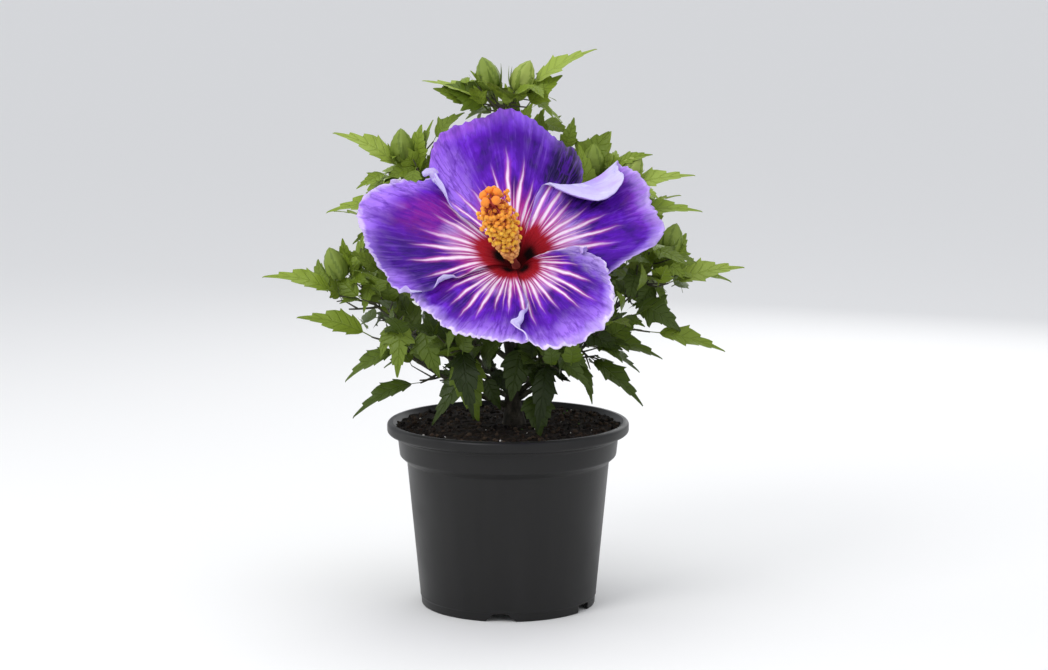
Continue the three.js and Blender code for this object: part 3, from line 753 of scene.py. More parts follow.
def inOwnShare(point, name):
    own = frames[name].find(point)[2] + room["share"]
    return all(own < tree.find(point)[2] for other, tree in frames.items() if other != name)


def clearOfLimbs(point):
    near = limbTree.find_range(point, stalk["calyxDepth"] / 2 + room["limb"])
    return all(distance > limbPoints[index][1] + room["limb"] for place, index, distance in near)


def behindBloom(point):
    place = bloomInverse @ point
    radius = math.hypot(place.x, place.y)
    if radius > bloom["reach"] + bloom["clear"]:
        return True
    return place.z < cupHeight(math.atan2(place.y, place.x), radius) - bloom["clear"]


def clearOfPot(point):
    radius = math.hypot(point.x, point.y)
    if radius < pot["collarRadius"] - pot["wall"] - room["pot"]:
        return point.z > soil["top"] + room["pot"]
    return radius > pot["rimRadius"] + room["pot"] or point.z > pot["height"] + room["pot"]


def inCrown(point, power):
    place = point - room["crownMiddle"]
    level = math.hypot(place.x / room["crownReach"][0], place.y / room["crownReach"][1])
    height = abs(place.z) / (room["crownReach"][2] if place.z > 0 else room["crownDrop"])
    return level ** power + height ** power < 1


def bladeAxes(root, tip, face):
    along = (tip - root).normalized()
    side = along.cross(face).normalized()
    return along, side, side.cross(along)


def bladePoints(root, tip, face, width):
    along, side, above = bladeAxes(root, tip, face)
    length = (tip - root).length
    points = []
    for share, half in zip(leaves["shares"], leaves["halves"]):
        half *= width * length
        middle = root + along * share * length + above * leaves["arch"] * length * 4 * share * (1 - share)
        rise = above * leaves["fold"] * half
        points += [middle - above * min(half, leaves["thick"] * length), middle + side * half + rise,
                   middle - side * half + rise]
    return points


def hasRoom(points, name):
    return all(inOwnShare(point, name) and behindBloom(point) and clearOfPot(point) and clearOfLimbs(point)
               for point in points)


# growth: twigs, leaves and buds are first listed, and then made in joined pieces

grown = {"twigs": [], "leaves": [], "buds": [], "middles": []}


def outward(point):
    return Vector((point.x, point.y, 0)).normalized()


def across(along, turn):
    level = up.cross(along).normalized()
    return along.cross(level) * math.cos(turn) + level * math.sin(turn)


def leafFace(root, aside):
    return outward(root) * leaves["outward"] + Vector((0, -aside, leaves["upward"]))


def showing(root, face):  # turns a blade's face more to the front or the back of the plant
    return face + Vector((0, leaves["showing"] * (-1 if root.y < leaves["backFrom"] else 1), 0))


# the tone of a leaf, twig or bud: from its age, with painted light high and outside and painted shade low
# and deep inside
def ageAndLightTone(point, random):
    height = (point.z - tones["low"]) / tones["rise"]
    depth = math.hypot(point.x, point.y) / tones["reach"]
    light = tones["byHeight"] * height + tones["byReach"] * depth - tones["darker"]
    return min(1, max(0, light + tones["spread"] * (random() - 0.5)))


def scatter(random):
    return Vector([random() - 0.5 for axis in range(3)])


def bentTwig(root, end, radii, bow, steps=4):
    return bentLine(root, root.lerp(end, 0.5) + bow, end, steps), tapered(*radii, steps)


def addTwig(root, end, radii, random):
    length = (end - root).length
    bow = scatter(random) * sprays["bow"] * length - up * sprays["droop"] * length
    grown["twigs"].append((*bentTwig(root, end, radii, bow), ageAndLightTone(end, random)))


def addLeaf(root, tip, face, width, kind, tone):
    grown["leaves"].append({
        "root": root, "tip": tip, "face": face, "width": width, "kind": kind, "tone": tone,
    })
    grown["middles"].append(root.lerp(tip, 0.5))


def wayOf(root, along, turn):  # the way that a twig takes
    return (across(along, turn) + outward(root) * sprays["outward"] + along * sprays["ahead"]).normalized()


def leavesOn(root, end, away, fan, lengths, spray):  # the foot and the tip of each leaf on a twig
    pairs = []
    for (share, ahead, aside, rise), length in zip(spray, lengths):
        foot = root.lerp(end, share)
        pairs.append((foot, foot + (away * ahead + fan * aside + up * rise) * length))
    return pairs


def growMass(name, mass):
    random, spray = dice(mass["seed"]), dice(mass["seed"] + 1000)
    stem = mass["stem"]
    middles, hosts = [], []

    def tryLeaf(root, tip, width, aside, kind):
        sunk = root - (tip - root).normalized() * leaves["sink"]
        face = leafFace(root, aside)
        if hasRoom(bladePoints(sunk, tip, face, width), name):
            tone = ageAndLightTone(tip, spray)
            if kind == "lead":
                addLeaf(sunk, tip, face, width, kind, min(1, tone + leaves["leadLighter"]))
            else:
                addLeaf(sunk, tip, showing(root, face), width, kind, tone)
            middles.append(root.lerp(tip, 0.5))

    def trySeeded(root, tip):
        middle = root.lerp(tip, 0.5)
        apart = all((middle - other).length >= leaves["spacing"] for other in middles)
        if apart and inCrown(tip, room["crownPower"]):
            tryLeaf(root, tip, leaves["width"], 0, "lobed" if spray() < leaves["lobed"] else "plain")

    for share, *middle in mass["buds"]:
        root, centre = pointAlong(stem, share), Vector(middle)
        grown["buds"].append((root, centre, budAxis(root, centre), ageAndLightTone(centre, spray)))
    for share, *reach in mass["leads"]:
        root, tip = pointAlong(stem, share), Vector(reach)
        length = (tip - root).length
        foot = root.lerp(tip, max(0, 1 - leaves["leadLength"] / length))
        if length > leaves["leadLength"]:
            addTwig(root, foot, sprays["radii"], spray)
            hosts.append([root, foot])
        aside = leaves["backAside"] if tip.y > 30 else leaves["leadAside"]
        tryLeaf(foot, tip, leaves["leadWidth"], aside, "lead")
    turn = random() * 2 * math.pi
    for count in range(mass["twigs"]):
        share = lerp(*sprays["shares"], (count + sprays["uneven"] * random()) / mass["twigs"])
        root, along = pointAlong(stem, share), directionAlong(stem, share)
        turn += goldenAngle
        reach = lerp(*sprays["reach"], random())
        lengths = [lerp(*leaves["lengths"], random()) for leaf in range(4)]
        other = sprays["facing"]
        facing = across(along, turn + math.pi) + outward(root) * other["outward"] + along * other["ahead"]
        trySeeded(root, root + facing.normalized() * other["reach"] * lengths[3])
        away = wayOf(root, along, turn)
        end = root + away * reach + up * sprays["rise"] * reach
        if not (inOwnShare(end, name) and behindBloom(end) and clearOfPot(end)):
            continue
        addTwig(root, end, sprays["radii"], spray)
        hosts.append([root, end])
        fan = across(away, turn + sprays["fanTurn"])
        for foot, tip in leavesOn(root, end, away, fan, lengths, sprays["leaves"]):
            trySeeded(foot, tip)
    mass["hosts"] = hosts


def nearestLeaf(point):
    return min((middle - point).length for middle in grown["middles"])


def growFiner(name, mass):
    random = dice(mass["seed"] + 500)
    lines = [(mass["stem"], finer["stem"])]
    if mass["bough"]:
        lines.append((mass["bough"], finer["bough"]))
    lines += [(host, finer["twig"]) for host in mass["hosts"]]
    turn = random() * 2 * math.pi
    for line, share in [(line, share) for line, shares in lines for share in shares]:
        root = pointAlong(line, share)
        turn += goldenAngle
        away = wayOf(root, directionAlong(line, share), turn)
        reach = lerp(*finer["reach"], random())
        end = root + away * reach + up * finer["rise"] * reach
        lengths = [lerp(*finer["lengths"], random()) for leaf in range(4)]
        fan = across(away, turn + sprays["fanTurn"])
        added = 0
        for foot, tip in leavesOn(root, end, away, fan, lengths, finer["leaves"]):
            face = showing(foot, leafFace(foot, 0) + scatter(random) * finer["wander"])
            width = lerp(*finer["widths"], random())
            points = bladePoints(foot, tip, face, width)[3:]  # its foot may touch the twig
            crowded = nearestLeaf(foot.lerp(tip, 0.5)) < finer["spacing"]
            if crowded or not inCrown(tip, finer["crownPower"]) or not hasRoom(points, name):
                continue
            kind = "lobed" if random() < finer["lobed"] else "plain"
            addLeaf(foot, tip, face, width, kind, ageAndLightTone(tip, random))
            added += 1
        if added and share < 1:
            addTwig(root, end, finer["radii"], random)


# single leaves that show from the front: root, tip, width, kind and how light they are, by age and painted
# light and shade
covers = [
    ((10, -30, 190), (2, -37, 150), 0.3, "plain", 0.14),
    ((22, -28, 184), (24, -34, 148), 0.28, "plain", 0.2),
    ((19, -34, 158), (22, -46, 127), 0.36, "plain", 0.18),
    ((-16, -30, 168), (-5, -26, 142), 0.24, "plain", 0.14),
    ((-72, -18, 207), (-76, -34, 166), 0.26, "lobed", 0.5),
    ((-58, -22, 202), (-47, -34, 166), 0.27, "lobed", 0.42),
    ((-76, -14, 202), (-88, -26, 178), 0.25, "plain", 0.5),
    ((-32, -30, 192), (-48, -42, 182), 0.26, "plain", 0.36),
    ((58, -20, 192), (79, -32, 176), 0.28, "lobed", 0.3),
    ((46, -20, 197), (79, -34, 185), 0.3, "plain", 0.24),
    ((48, -22, 176), (58, -38, 148), 0.16, "plain", 0.25),
    ((90, 0, 240), (84, -6, 214), 0.3, "plain", 0.25),
    ((102, 2, 228), (89, -6, 210), 0.3, "lobed", 0.3),
    ((-102, -2, 252), (-108, -8, 230), 0.22, "plain", 0.75),
    ((-94, -6, 232), (-100, -14, 208), 0.26, "lobed", 0.6),
    ((50, 14, 304), (71, 12, 332), 0.42, "lobed", 0.5),
    ((74, 12, 309), (101, 10, 316), 0.2, "plain", 0.7),
    ((38, 14, 318), (46, 12, 342), 0.25, "plain", 0.5),
    ((-63, 14, 308), (-60, 12, 337), 0.36, "plain", 0.68),
    ((-62, 10, 307), (-86, 6, 297), 0.32, "lobed", 0.6),
    ((-52, 14, 325), (-30, 14, 345), 0.25, "lobed", 0.62),
    ((-14, 12, 350), (-24, 10, 364), 0.26, "plain", 0.75),
    ((6, 10, 352), (14, 8, 368), 0.28, "plain", 0.85),
    ((0, 8, 350), (-2, 4, 366), 0.3, "plain", 0.8),
    ((86, -10, 214), (120, -14, 195), 0.34, "lobed", 0.36),
    ((-14, 13, 347), (-45, 13, 364), 0.42, "lobed", 0.42),
    ((13, 13, 349), (38, 13, 371), 0.3, "lobed", 0.7),
    ((-24, 12, 352), (-52, 10, 362), 0.3, "plain", 0.5),
    ((-31, -34, 189), (-20, -42, 137), 0.23, "plain", 0.44),
]
coverForm = {"seed": 77, "width": 0.74, "aside": 0.9, "radii": (0.8, 0.55), "nearest": 1.5}


def addCovers():
    random = dice(coverForm["seed"])
    lines = [mass[key] for mass in masses.values() for key in ("stem", "bough") if mass[key]]
    hosts = treeOf([point for line in lines for point in part(line, 0, 1, 20)])
    for root, tip, width, kind, tone in covers:
        root, tip = Vector(root), Vector(tip)
        host = hosts.find(root)[0]
        if (host - root).length > coverForm["nearest"]:
            addTwig(host, root, coverForm["radii"], random)
        addLeaf(root, tip, leafFace(root, coverForm["aside"]), width * coverForm["width"], kind, tone)


for name, mass in masses.items():
    growMass(name, mass)
firstLeaves = len(grown["leaves"])
addCovers()
for name, mass in masses.items():
    growFiner(name, mass)
print("grown", firstLeaves, "leading and seeded leaves,", len(grown["leaves"]), "leaves in all,",
      len(grown["twigs"]), "twigs")


# bark: the main stem and the boughs, with their relief

ridging = {
    "stretch": 3.5, "fine": 2.7, "fineShare": 0.5, "level": 0.7,
    "knotSize": 9, "knotShift": Vector((3, 7, 1)), "knotFrom": 0.15, "knots": 2.2,
}


def roughen(shape, depth, size):
    shape.normal_update()
    moves = []
    for vert in shape.verts:
        place = Vector((vert.co.x, vert.co.y, vert.co.z / ridging["stretch"])) / size
        ridges = 1 - abs(noise.noise(place)) * 2
        ridges += ridging["fineShare"] * noise.noise(place * ridging["fine"])
        swelling = noise.noise(vert.co / ridging["knotSize"] + ridging["knotShift"])
        knots = max(0, swelling - ridging["knotFrom"]) * ridging["knots"]
        moves.append(vert.normal * depth * (ridges - ridging["level"] + knots))
    for vert, move in zip(shape.verts, moves):
        vert.co += move


barks = {  # dark, middle and light
    "stemBark": [(0.01, 0.009, 0.006), (0.025, 0.021, 0.014), (0.06, 0.05, 0.034)],
    "boughBark": [(0.014, 0.014, 0.008), (0.03, 0.03, 0.015), (0.065, 0.062, 0.035)],
}


def barkFinish(name):
    material, tree, shader = newMaterial(name, Specular_IOR_Level=0.25)
    plates = grain(tree, 260, 6, (1, 1, 0.35))
    specks = grain(tree, 1400, 2)
    tone = calc(tree, "MULTIPLY_ADD", specks, 0.35, times(tree, plates, 0.75))
    colour = ramp(tree, tone, list(zip((0.36, 0.54, 0.72), barks[name])))
    tree.links.new(colour, shader.inputs["Base Color"])
    tree.links.new(fade(tree, plates, 0.3, 0.7, 0.95, 0.7), shader.inputs["Roughness"])
    addBump(tree, shader, plates, 0.7, 0.0006)
    return material


def makeBark():
    line = evenly(trunkLine, trunk["rings"])
    radii = [trunkRadiusAt(step / trunk["rings"]) for step in range(trunk["rings"] + 1)]
    foot = line[0] - up * trunk["sunk"]
    shape = tubes([([foot, *line], [radii[0] + trunk["footSpread"], *radii], 0)], 6)
    roughen(shape, trunk["relief"], trunk["reliefSize"])
    addPiece("mainStem", shape, [barkFinish("stemBark")], ["trunk"])
    radii = tapered(limbs["boughRadius"], limbs["stemRadius"], limbs["steps"], limbs["flare"])
    boughs = {f"bough_{name}": mass["bough"] for name, mass in masses.items() if mass["bough"]}
    shape = tubes([(evenly(line, limbs["steps"]), radii, 0) for line in boughs.values()], 4)
    roughen(shape, limbs["relief"], limbs["reliefSize"])
    addPiece("boughs", shape, [barkFinish("boughBark")], list(boughs))


makeBark()


# twigs, in three plain colours from old wood to young shoots, darker also as painted shade low and deep
# inside

twigForm = {
    "skins": [(0.045, 0.042, 0.02), (0.07, 0.09, 0.025), (0.11, 0.17, 0.035)],
    "relief": {"scale": 900, "detail": 3, "stretch": (1, 1, 0.4), "strength": 0.4, "distance": 0.0003},
    "steps": 16, "youngFrom": 230, "budFoot": 0.42,
}


def makeTwigs():
    lines = []
    for mass in masses.values():
        line = evenly(mass["stem"], twigForm["steps"])
        radii = tapered(limbs["stemRadius"], limbs["stemTipRadius"], twigForm["steps"])
        lines.append((line, radii, 0 if line[0].z < twigForm["youngFrom"] else 1))
    for line, radii, tone in grown["twigs"]:
        lines.append((line, radii, min(2, int(tone * 3))))
    for root, centre, axis, tone in grown["buds"]:
        foot = centre - axis * bud["length"] * twigForm["budFoot"]
        lines.append((*bentTwig(root, foot, (bud["stalk"], bud["stalk"]), -up), 2))
    materials = plainFinishes(numbered("twigSkin", twigForm["skins"]), twigForm["relief"], Roughness=0.7)
    addPiece("twigs", tubes(lines, 1), materials, [])


makeTwigs()


# leaves: outlines of one blade, lying along Y from 0 to 1, with a fold along the midrib and toothed sides

blade = {
    "rows": 24, "columns": 4, "stalkEnd": 0.13, "stalkHalf": 0.05, "widest": 0.62, "full": 0.86,
    "fold": 0.04, "wave": 0.012, "bows": (-0.035, 0.035), "seed": 7,
    "teeth": (-1, -0.35, 0.4, 1), "toothed": (0.15, 0.96), "forward": 0.022,
    "lobeLong": 0.075, "waistAfter": 0.17, "waistLong": 0.08, "waistDeep": 0.55, "pointFrom": 0.45,
    "kinds": {
        "plain": {"tooth": 0.07, "lobe": 0.08, "lobeAt": 0.34, "point": 0.5, "arches": (0.04, 0.11),
                  "widths": (1.2, 1.5)},
        "lobed": {"tooth": 0.1, "lobe": 0.3, "lobeAt": 0.36, "point": 0.7, "arches": (0.06, 0.13),
                  "widths": (1.2, 1.5)},
        "lead": {"tooth": 0.14, "lobe": 0.2, "lobeAt": 0.42, "point": 1.2, "arches": (0.07, 0.14),
                 "widths": (1.1, 1.3)},
    },
    # from dark to light, dealt out by age and by painted light and shade
    "greens": [
        (0.015, 0.027, 0.002), (0.03, 0.051, 0.004), (0.054, 0.087, 0.007), (0.09, 0.137, 0.011),
        (0.135, 0.194, 0.016), (0.185, 0.26, 0.022), (0.235, 0.322, 0.034), (0.28, 0.37, 0.052),
    ],
}


def bladeHalf(kind, share):  # half the width, 1 at its widest, without the teeth
    if share <= 0:
        return blade["stalkHalf"]
    full = math.sin(math.pi * min(1, share) ** blade["widest"]) ** 0.85 * (1 - share ** 3 * 0.25)
    beyond = share - kind["lobeAt"]
    lobe = bell(beyond, blade["lobeLong"])
    waist = blade["waistDeep"] * bell(beyond - blade["waistAfter"], blade["waistLong"])
    taper = 1 - 0.5 * max(0, share - blade["pointFrom"]) * kind["point"]
    return max(blade["stalkHalf"], full * taper * (blade["full"] + kind["lobe"] * (lobe - waist)))


def makeBlade(kind, arch, bow):
    shape = bmesh.new()
    shape.loops.layers.uv.new("bladePlace")
    bmesh.ops.create_grid(shape, x_segments=blade["columns"], y_segments=blade["rows"], size=1,
                          calc_uvs=True)
    for vert in shape.verts:
        side = vert.co.x
        row = round((vert.co.y + 1) / 2 * blade["rows"])
        length = row / blade["rows"]
        share = (length - blade["stalkEnd"]) / (1 - blade["stalkEnd"])
        half = bladeHalf(kind, share)
        forward = 0
        if blade["toothed"][0] < share < blade["toothed"][1]:
            out = blade["teeth"][row % 4] * side ** 2
            half *= 1 + out * kind["tooth"]
            forward = blade["forward"] * out
        swell = 4 * length * (1 - length)
        x = side * half + bow * swell
        height = blade["fold"] * half * abs(side) + arch * swell
        height += blade["wave"] * math.sin(21 * length + 2 * side) * abs(side) * min(1, half)
        vert.co = Vector((x, min(1, length + forward), height))
    return shape


def leafFinish(name, colour):
    material, tree, shader = newMaterial(name, colour, Specular_IOR_Level=0.24)
    place = addNode(tree, "UVMap", uv_map="bladePlace").outputs[0]
    split = addNode(tree, "SeparateXYZ", {0: place})
    side = calc(tree, "ABSOLUTE", calc(tree, "MULTIPLY_ADD", split.outputs[0], 2, -1))
    slanted = calc(tree, "MULTIPLY_ADD", side, -0.16, split.outputs[1])
    veins = calc(tree, "ABSOLUTE", calc(tree, "SINE", times(tree, slanted, 24)))
    relief = times(tree, fade(tree, veins, 0, 0.35), fade(tree, side, 0, 0.09))
    cells = grain(tree, 700, 3)
    tree.links.new(fade(tree, cells, 0.3, 0.7, 0.36, 0.54), shader.inputs["Roughness"])
    addBump(tree, shader, calc(tree, "MULTIPLY_ADD", cells, 0.4, relief), 0.65, 0.0008)
    return material


def makeLeaves():
    random = dice(blade["seed"])
    templates = {}
    for name, kind in blade["kinds"].items():
        templates[name] = [makeTemplate(name, makeBlade(kind, arch, bow))
                           for arch in kind["arches"] for bow in blade["bows"]]
    shape = bmesh.new()
    for leaf in grown["leaves"]:
        along, side, above = bladeAxes(leaf["root"], leaf["tip"], leaf["face"])
        length = (leaf["tip"] - leaf["root"]).length
        width = leaf["width"] * length * lerp(*blade["kinds"][leaf["kind"]]["widths"], random())
        template = templates[leaf["kind"]][int(random() * 4) % 4]
        matrix = frameAt(leaf["root"], side, along, above, (width, length, length))
        tone = min(len(blade["greens"]) - 1, int(leaf["tone"] * len(blade["greens"])))
        stamp(shape, template, matrix, tone)
    bmesh.ops.remove_doubles(shape, verts=shape.verts, dist=1e-5)
    for group in templates.values():
        for template in group:
            bpy.data.meshes.remove(template)
    greens = numbered("leafGreen", blade["greens"])
    materials = [leafFinish(name, colour) for name, colour in greens.items()]
    addPiece("leaves", shape, materials, [f"foliage_{name}" for name in masses])


makeLeaves()


# buds: five sepals that meet in ridges, and a ring of thin bracts at the foot

budForm = {
    "segments": 40, "rings": 14, "ridge": 0.07, "twist": 0.5, "seam": 0.95, "seed": 19, "tones": 3.4,
    "bracts": 7, "bractLength": 0.62, "bractWidth": 0.05, "bractFoot": 0.3, "bractSpread": 1.15,
    "bractLift": 0.6, "bractHollow": 0.3, "uneven": 1.2,
    "profile": [
        (0, 0.1), (0.06, 0.56), (0.18, 0.87), (0.36, 1), (0.58, 0.93), (0.78, 0.66), (0.92, 0.3), (1, 0.02),
    ],
    "greens": [  # the first is for seams
        (0.075, 0.115, 0.012), (0.125, 0.18, 0.024), (0.185, 0.25, 0.038), (0.29, 0.36, 0.075),
    ],
    "relief": {"scale": 800, "detail": 4, "strength": 0.35, "distance": 0.0004},
}


def between(pairs, share):
    for (before, low), (after, high) in zip(pairs, pairs[1:]):
        if share <= after:
            step = (share - before) / (after - before)
            return lerp(low, high, step * step * (3 - 2 * step))
    return pairs[-1][1]


def makeBudTemplate():
    shape = bmesh.new()
    bmesh.ops.create_uvsphere(shape, u_segments=budForm["segments"], v_segments=budForm["rings"], radius=1)
    for vert in shape.verts:
        share = math.acos(max(-1, min(1, -vert.co.z))) / math.pi
        angle = math.atan2(vert.co.y, vert.co.x) + budForm["twist"] * share
        ridge = 1 + budForm["ridge"] * (abs(math.cos(2.5 * angle)) ** 6 * 2 - 1) * math.sin(math.pi * share)
        radius = between(budForm["profile"], share) * ridge
        vert.co = Vector((radius * math.cos(angle), radius * math.sin(angle), share))
    for face in shape.faces:  # the seams between the sepals are a shade darker
        middle = face.calc_center_median()
        angle = math.atan2(middle.y, middle.x) + budForm["twist"] * middle.z
        face.material_index = 0 if abs(math.cos(2.5 * angle)) > budForm["seam"] else 1
    scale = Vector((bud["radius"], bud["radius"], bud["length"]))
    bmesh.ops.scale(shape, vec=scale, verts=shape.verts)
    for count in range(budForm["bracts"]):
        added = bmesh.ops.create_grid(shape, x_segments=2, y_segments=6, size=1)["verts"]
        angle = 2 * math.pi * count / budForm["bracts"] + 0.2
        for vert in added:
            share = (vert.co.y + 1) / 2
            half = budForm["bractWidth"] * bud["length"] * math.sin(math.pi * (0.12 + 0.86 * share) ** 0.8)
            radius = bud["radius"] * (budForm["bractFoot"] + budForm["bractSpread"] * share ** 0.55)
            radius += budForm["uneven"] * share * math.sin(5 * angle)
            height = budForm["bractLength"] * bud["length"] * share ** 1.25 + budForm["bractLift"]
            place = Vector((radius, vert.co.x * half, height + budForm["bractHollow"] * abs(vert.co.x)))
            vert.co = Matrix.Rotation(angle, 3, "Z") @ place
    return makeTemplate("bud", shape)


def makeBuds():
    random = dice(budForm["seed"])
    template = makeBudTemplate()
    shape = bmesh.new()
    for root, centre, axis, tone in grown["buds"]:
        foot = centre - axis * bud["length"] / 2
        turn = axis.to_track_quat("Z", "Y").to_matrix().to_4x4()
        spin = Matrix.Rotation(6 * random(), 4, "Z")
        stamp(shape, template, Matrix.Translation(foot) @ turn @ spin, min(2, int(tone * budForm["tones"])))
    bpy.data.meshes.remove(template)
    materials = plainFinishes(numbered("budGreen", budForm["greens"]), budForm["relief"],
                              Roughness=0.5, Specular_IOR_Level=0.22)
    addPiece("buds", shape, materials, [])


makeBuds()


# petals: the same cup and outline as the solids, with finer ruffles, rolled margins and veins

petalForm = {
    "root": 3.2, "narrow": 38, "wide": 49, "rounding": 0.1, "tilt": 2.5, "ruffle": 2.2, "waves": 7,
    "thickness": 0.7, "columns": 110, "rows": 80, "crinkle": 1.5, "frill": 2, "fineFrill": 0.75,
    "scallop": 0.02, "bites": [(7, 0, 0.02), (26, 4, 0.022)],  # how fine, the layer of noise, how deep
    "creaseShades": [(5, 2.2, 0.05), (11, 4.5, 0.045)],  # how fine the lines of painted crease shade are across and along, and their width
    "rollTurn": 2.6, "foldTurn": 2.75, "raggedRoll": 0.35, "creaseStart": 60,
}
# Each patch of colour, a few of them painted shadow: where it is across and out along the petal, its half
# width and half depth, its colour and how strong it is. Each wave of the outline: where it is across, how
# wide and how high.
petals = {
    "top": {
        "turn": 97, "length": 114, "narrowing": 0.33, "curve": 1.8, "lopsided": 0.04,
        "seed": 1.3, "creaseShades": 0.5,
        "waves": [(-0.4, 0.4, -0.065)],
        "veins": 11, "reach": 0.66, "margin": 0.1, "rim": 0.03, "frill": 1.3,
        "rolls": [{"middle": 0.86, "spread": 0.2, "width": 11, "radius": 2.2}],
        "patches": [
            # the second patch is painted shadow where the top petal's right margin goes under the right
            # petal
            (0.8, 0.72, 0.4, 0.45, "lavender", 0.75), (-0.74, 0.86, 0.46, 0.4, "paintedShadow", 1),
            (-0.25, 0.78, 0.4, 0.25, "shade", 0.5), (0.35, 1.02, 0.6, 0.14, "mauve", 0.5),
        ],
    },
    "left": {
        "turn": 167, "length": 109, "narrowing": 0.32, "curve": 1.2, "lopsided": 0.1,
        "seed": 4.1, "creaseShades": 0.45,
        "waves": [(-0.4, 0.4, 0.055), (0.5, 0.3, -0.09)],
        "veins": 8, "reach": 0.7, "margin": 0.2, "rim": 0.55, "frill": 2,
        "rolls": [{"middle": 0.97, "spread": 0.11, "width": 6, "radius": 1.8},
                  {"middle": 0.62, "spread": 0.13, "width": 7, "radius": 2}],
        "patches": [
            (-0.3, 0.52, 0.65, 0.34, "plum", 1), (-0.2, 1, 0.6, 0.22, "lavender", 0.95),
            (0.55, 0.7, 0.65, 0.4, "shade", 0.85), (0.8, 0.94, 0.22, 0.14, "lavender", 0.6),
            (-0.1, 0.36, 0.6, 0.12, "pale", 0.5),
        ],
    },
    "lower_left": {
        "turn": 239, "length": 75, "narrowing": 0, "curve": 2, "lopsided": 0,
        "seed": 7.7, "creaseShades": 0.45, "waves": [],
        "veins": 9, "reach": 0.8, "margin": 0.7, "rim": 0.85, "frill": 2.2,
        "rolls": [{"middle": 0.85, "spread": 0.24, "width": 9, "radius": 2}],
        "patches": [
            (-0.75, 0.6, 0.4, 0.3, "plum", 0.7), (0.5, 1, 0.6, 0.26, "lavender", 0.7),
            (0.1, 0.4, 0.6, 0.09, "pale", 0.35), (-0.2, 0.72, 0.4, 0.14, "shade", 0.5),
        ],
    },
    "lower_right": {
        "turn": 315, "length": 89, "narrowing": 0.4, "curve": 2, "lopsided": -0.14,
        "seed": 9.2, "creaseShades": 0.4, "waves": [],
        "veins": 10, "reach": 0.76, "margin": 0.8, "rim": 0.9, "frill": 2.8,
        "rolls": [{"middle": 0.88, "spread": 0.14, "width": 8, "radius": 2.4}],
        "patches": [
            (-0.2, 0.95, 0.6, 0.24, "lavender", 0.8), (0.8, 0.9, 0.3, 0.3, "pale", 0.6),
            (0, 0.36, 0.6, 0.08, "pale", 0.5), (0.35, 0.62, 0.3, 0.16, "shade", 0.5),
        ],
    },
    "right": {
        "turn": 25, "length": 99, "narrowing": 0.35, "curve": 2.1, "lopsided": -0.04,
        "seed": 12.9, "creaseShades": 0.6,
        "waves": [(-0.36, 0.2, 0.05), (-0.75, 0.2, -0.07), (0.42, 0.25, 0.045), (0.77, 0.2, 0.33)],
        "veins": 9, "reach": 0.68, "margin": 0.55, "rim": 0.2, "frill": 1.5,
        "rolls": [],
        "fold": {"from": (23.6, 48.1), "to": (69.4, 65.9), "bulge": -8, "radius": 3.2},
        "patches": [
            # the first patch and the two near-black ones on the next line are painted shadow under the
            # folded corner
            (0.45, 0.66, 0.3, 0.16, "shade", 0.85), (0.1, 0.95, 0.5, 0.16, "mauve", 0.5),
            (0.52, 0.53, 0.24, 0.1, "paintedShadow", 0.85), (0.22, 0.62, 0.22, 0.09, "paintedShadow", 0.85),
            (0.75, 0.42, 0.3, 0.2, "lavender", 0.6), (-0.75, 0.8, 0.3, 0.25, "shade", 0.5),
            (-0.1, 0.36, 0.6, 0.14, "pale", 0.75),
        ],
    },
}
petalColours = {
    # the first colour is painted shade for the dark gaps between the petals' feet
    "gapShade": (0.006, 0.001, 0.001), "dark": (0.12, 0.003, 0.006), "crimson": (0.38, 0.008, 0.018),
    "ruby": (0.46, 0.012, 0.06), "flush": (0.42, 0.018, 0.18), "magenta": (0.42, 0.022, 0.32),
    "plum": (0.22, 0.012, 0.31), "violet": (0.092, 0.006, 0.41), "blue": (0.17, 0.024, 0.68),
    "lavender": (0.42, 0.2, 0.95), "mauve": (0.33, 0.07, 0.62), "pale": (0.66, 0.5, 0.97),
    # the near-black colour is painted shadow, and the one for creases is painted shade in the petals'
    # wrinkles and hollows
    "shade": (0.02, 0.003, 0.12), "paintedShadow": (0.003, 0.001, 0.02), "crease": (0.07, 0.004, 0.3),
    "vein": (0.93, 0.78, 0.96), "halo": (0.68, 0.1, 0.46), "rim": (0.82, 0.72, 0.97),
    "backFoot": (0.45, 0.5, 0.3), "backThroat": (0.62, 0.4, 0.6), "backField": (0.34, 0.24, 0.66),
    "backBlue": (0.42, 0.32, 0.76), "backPale": (0.62, 0.57, 0.88), "backMauve": (0.48, 0.3, 0.8),
    "backWhite": (0.72, 0.72, 0.93),
}


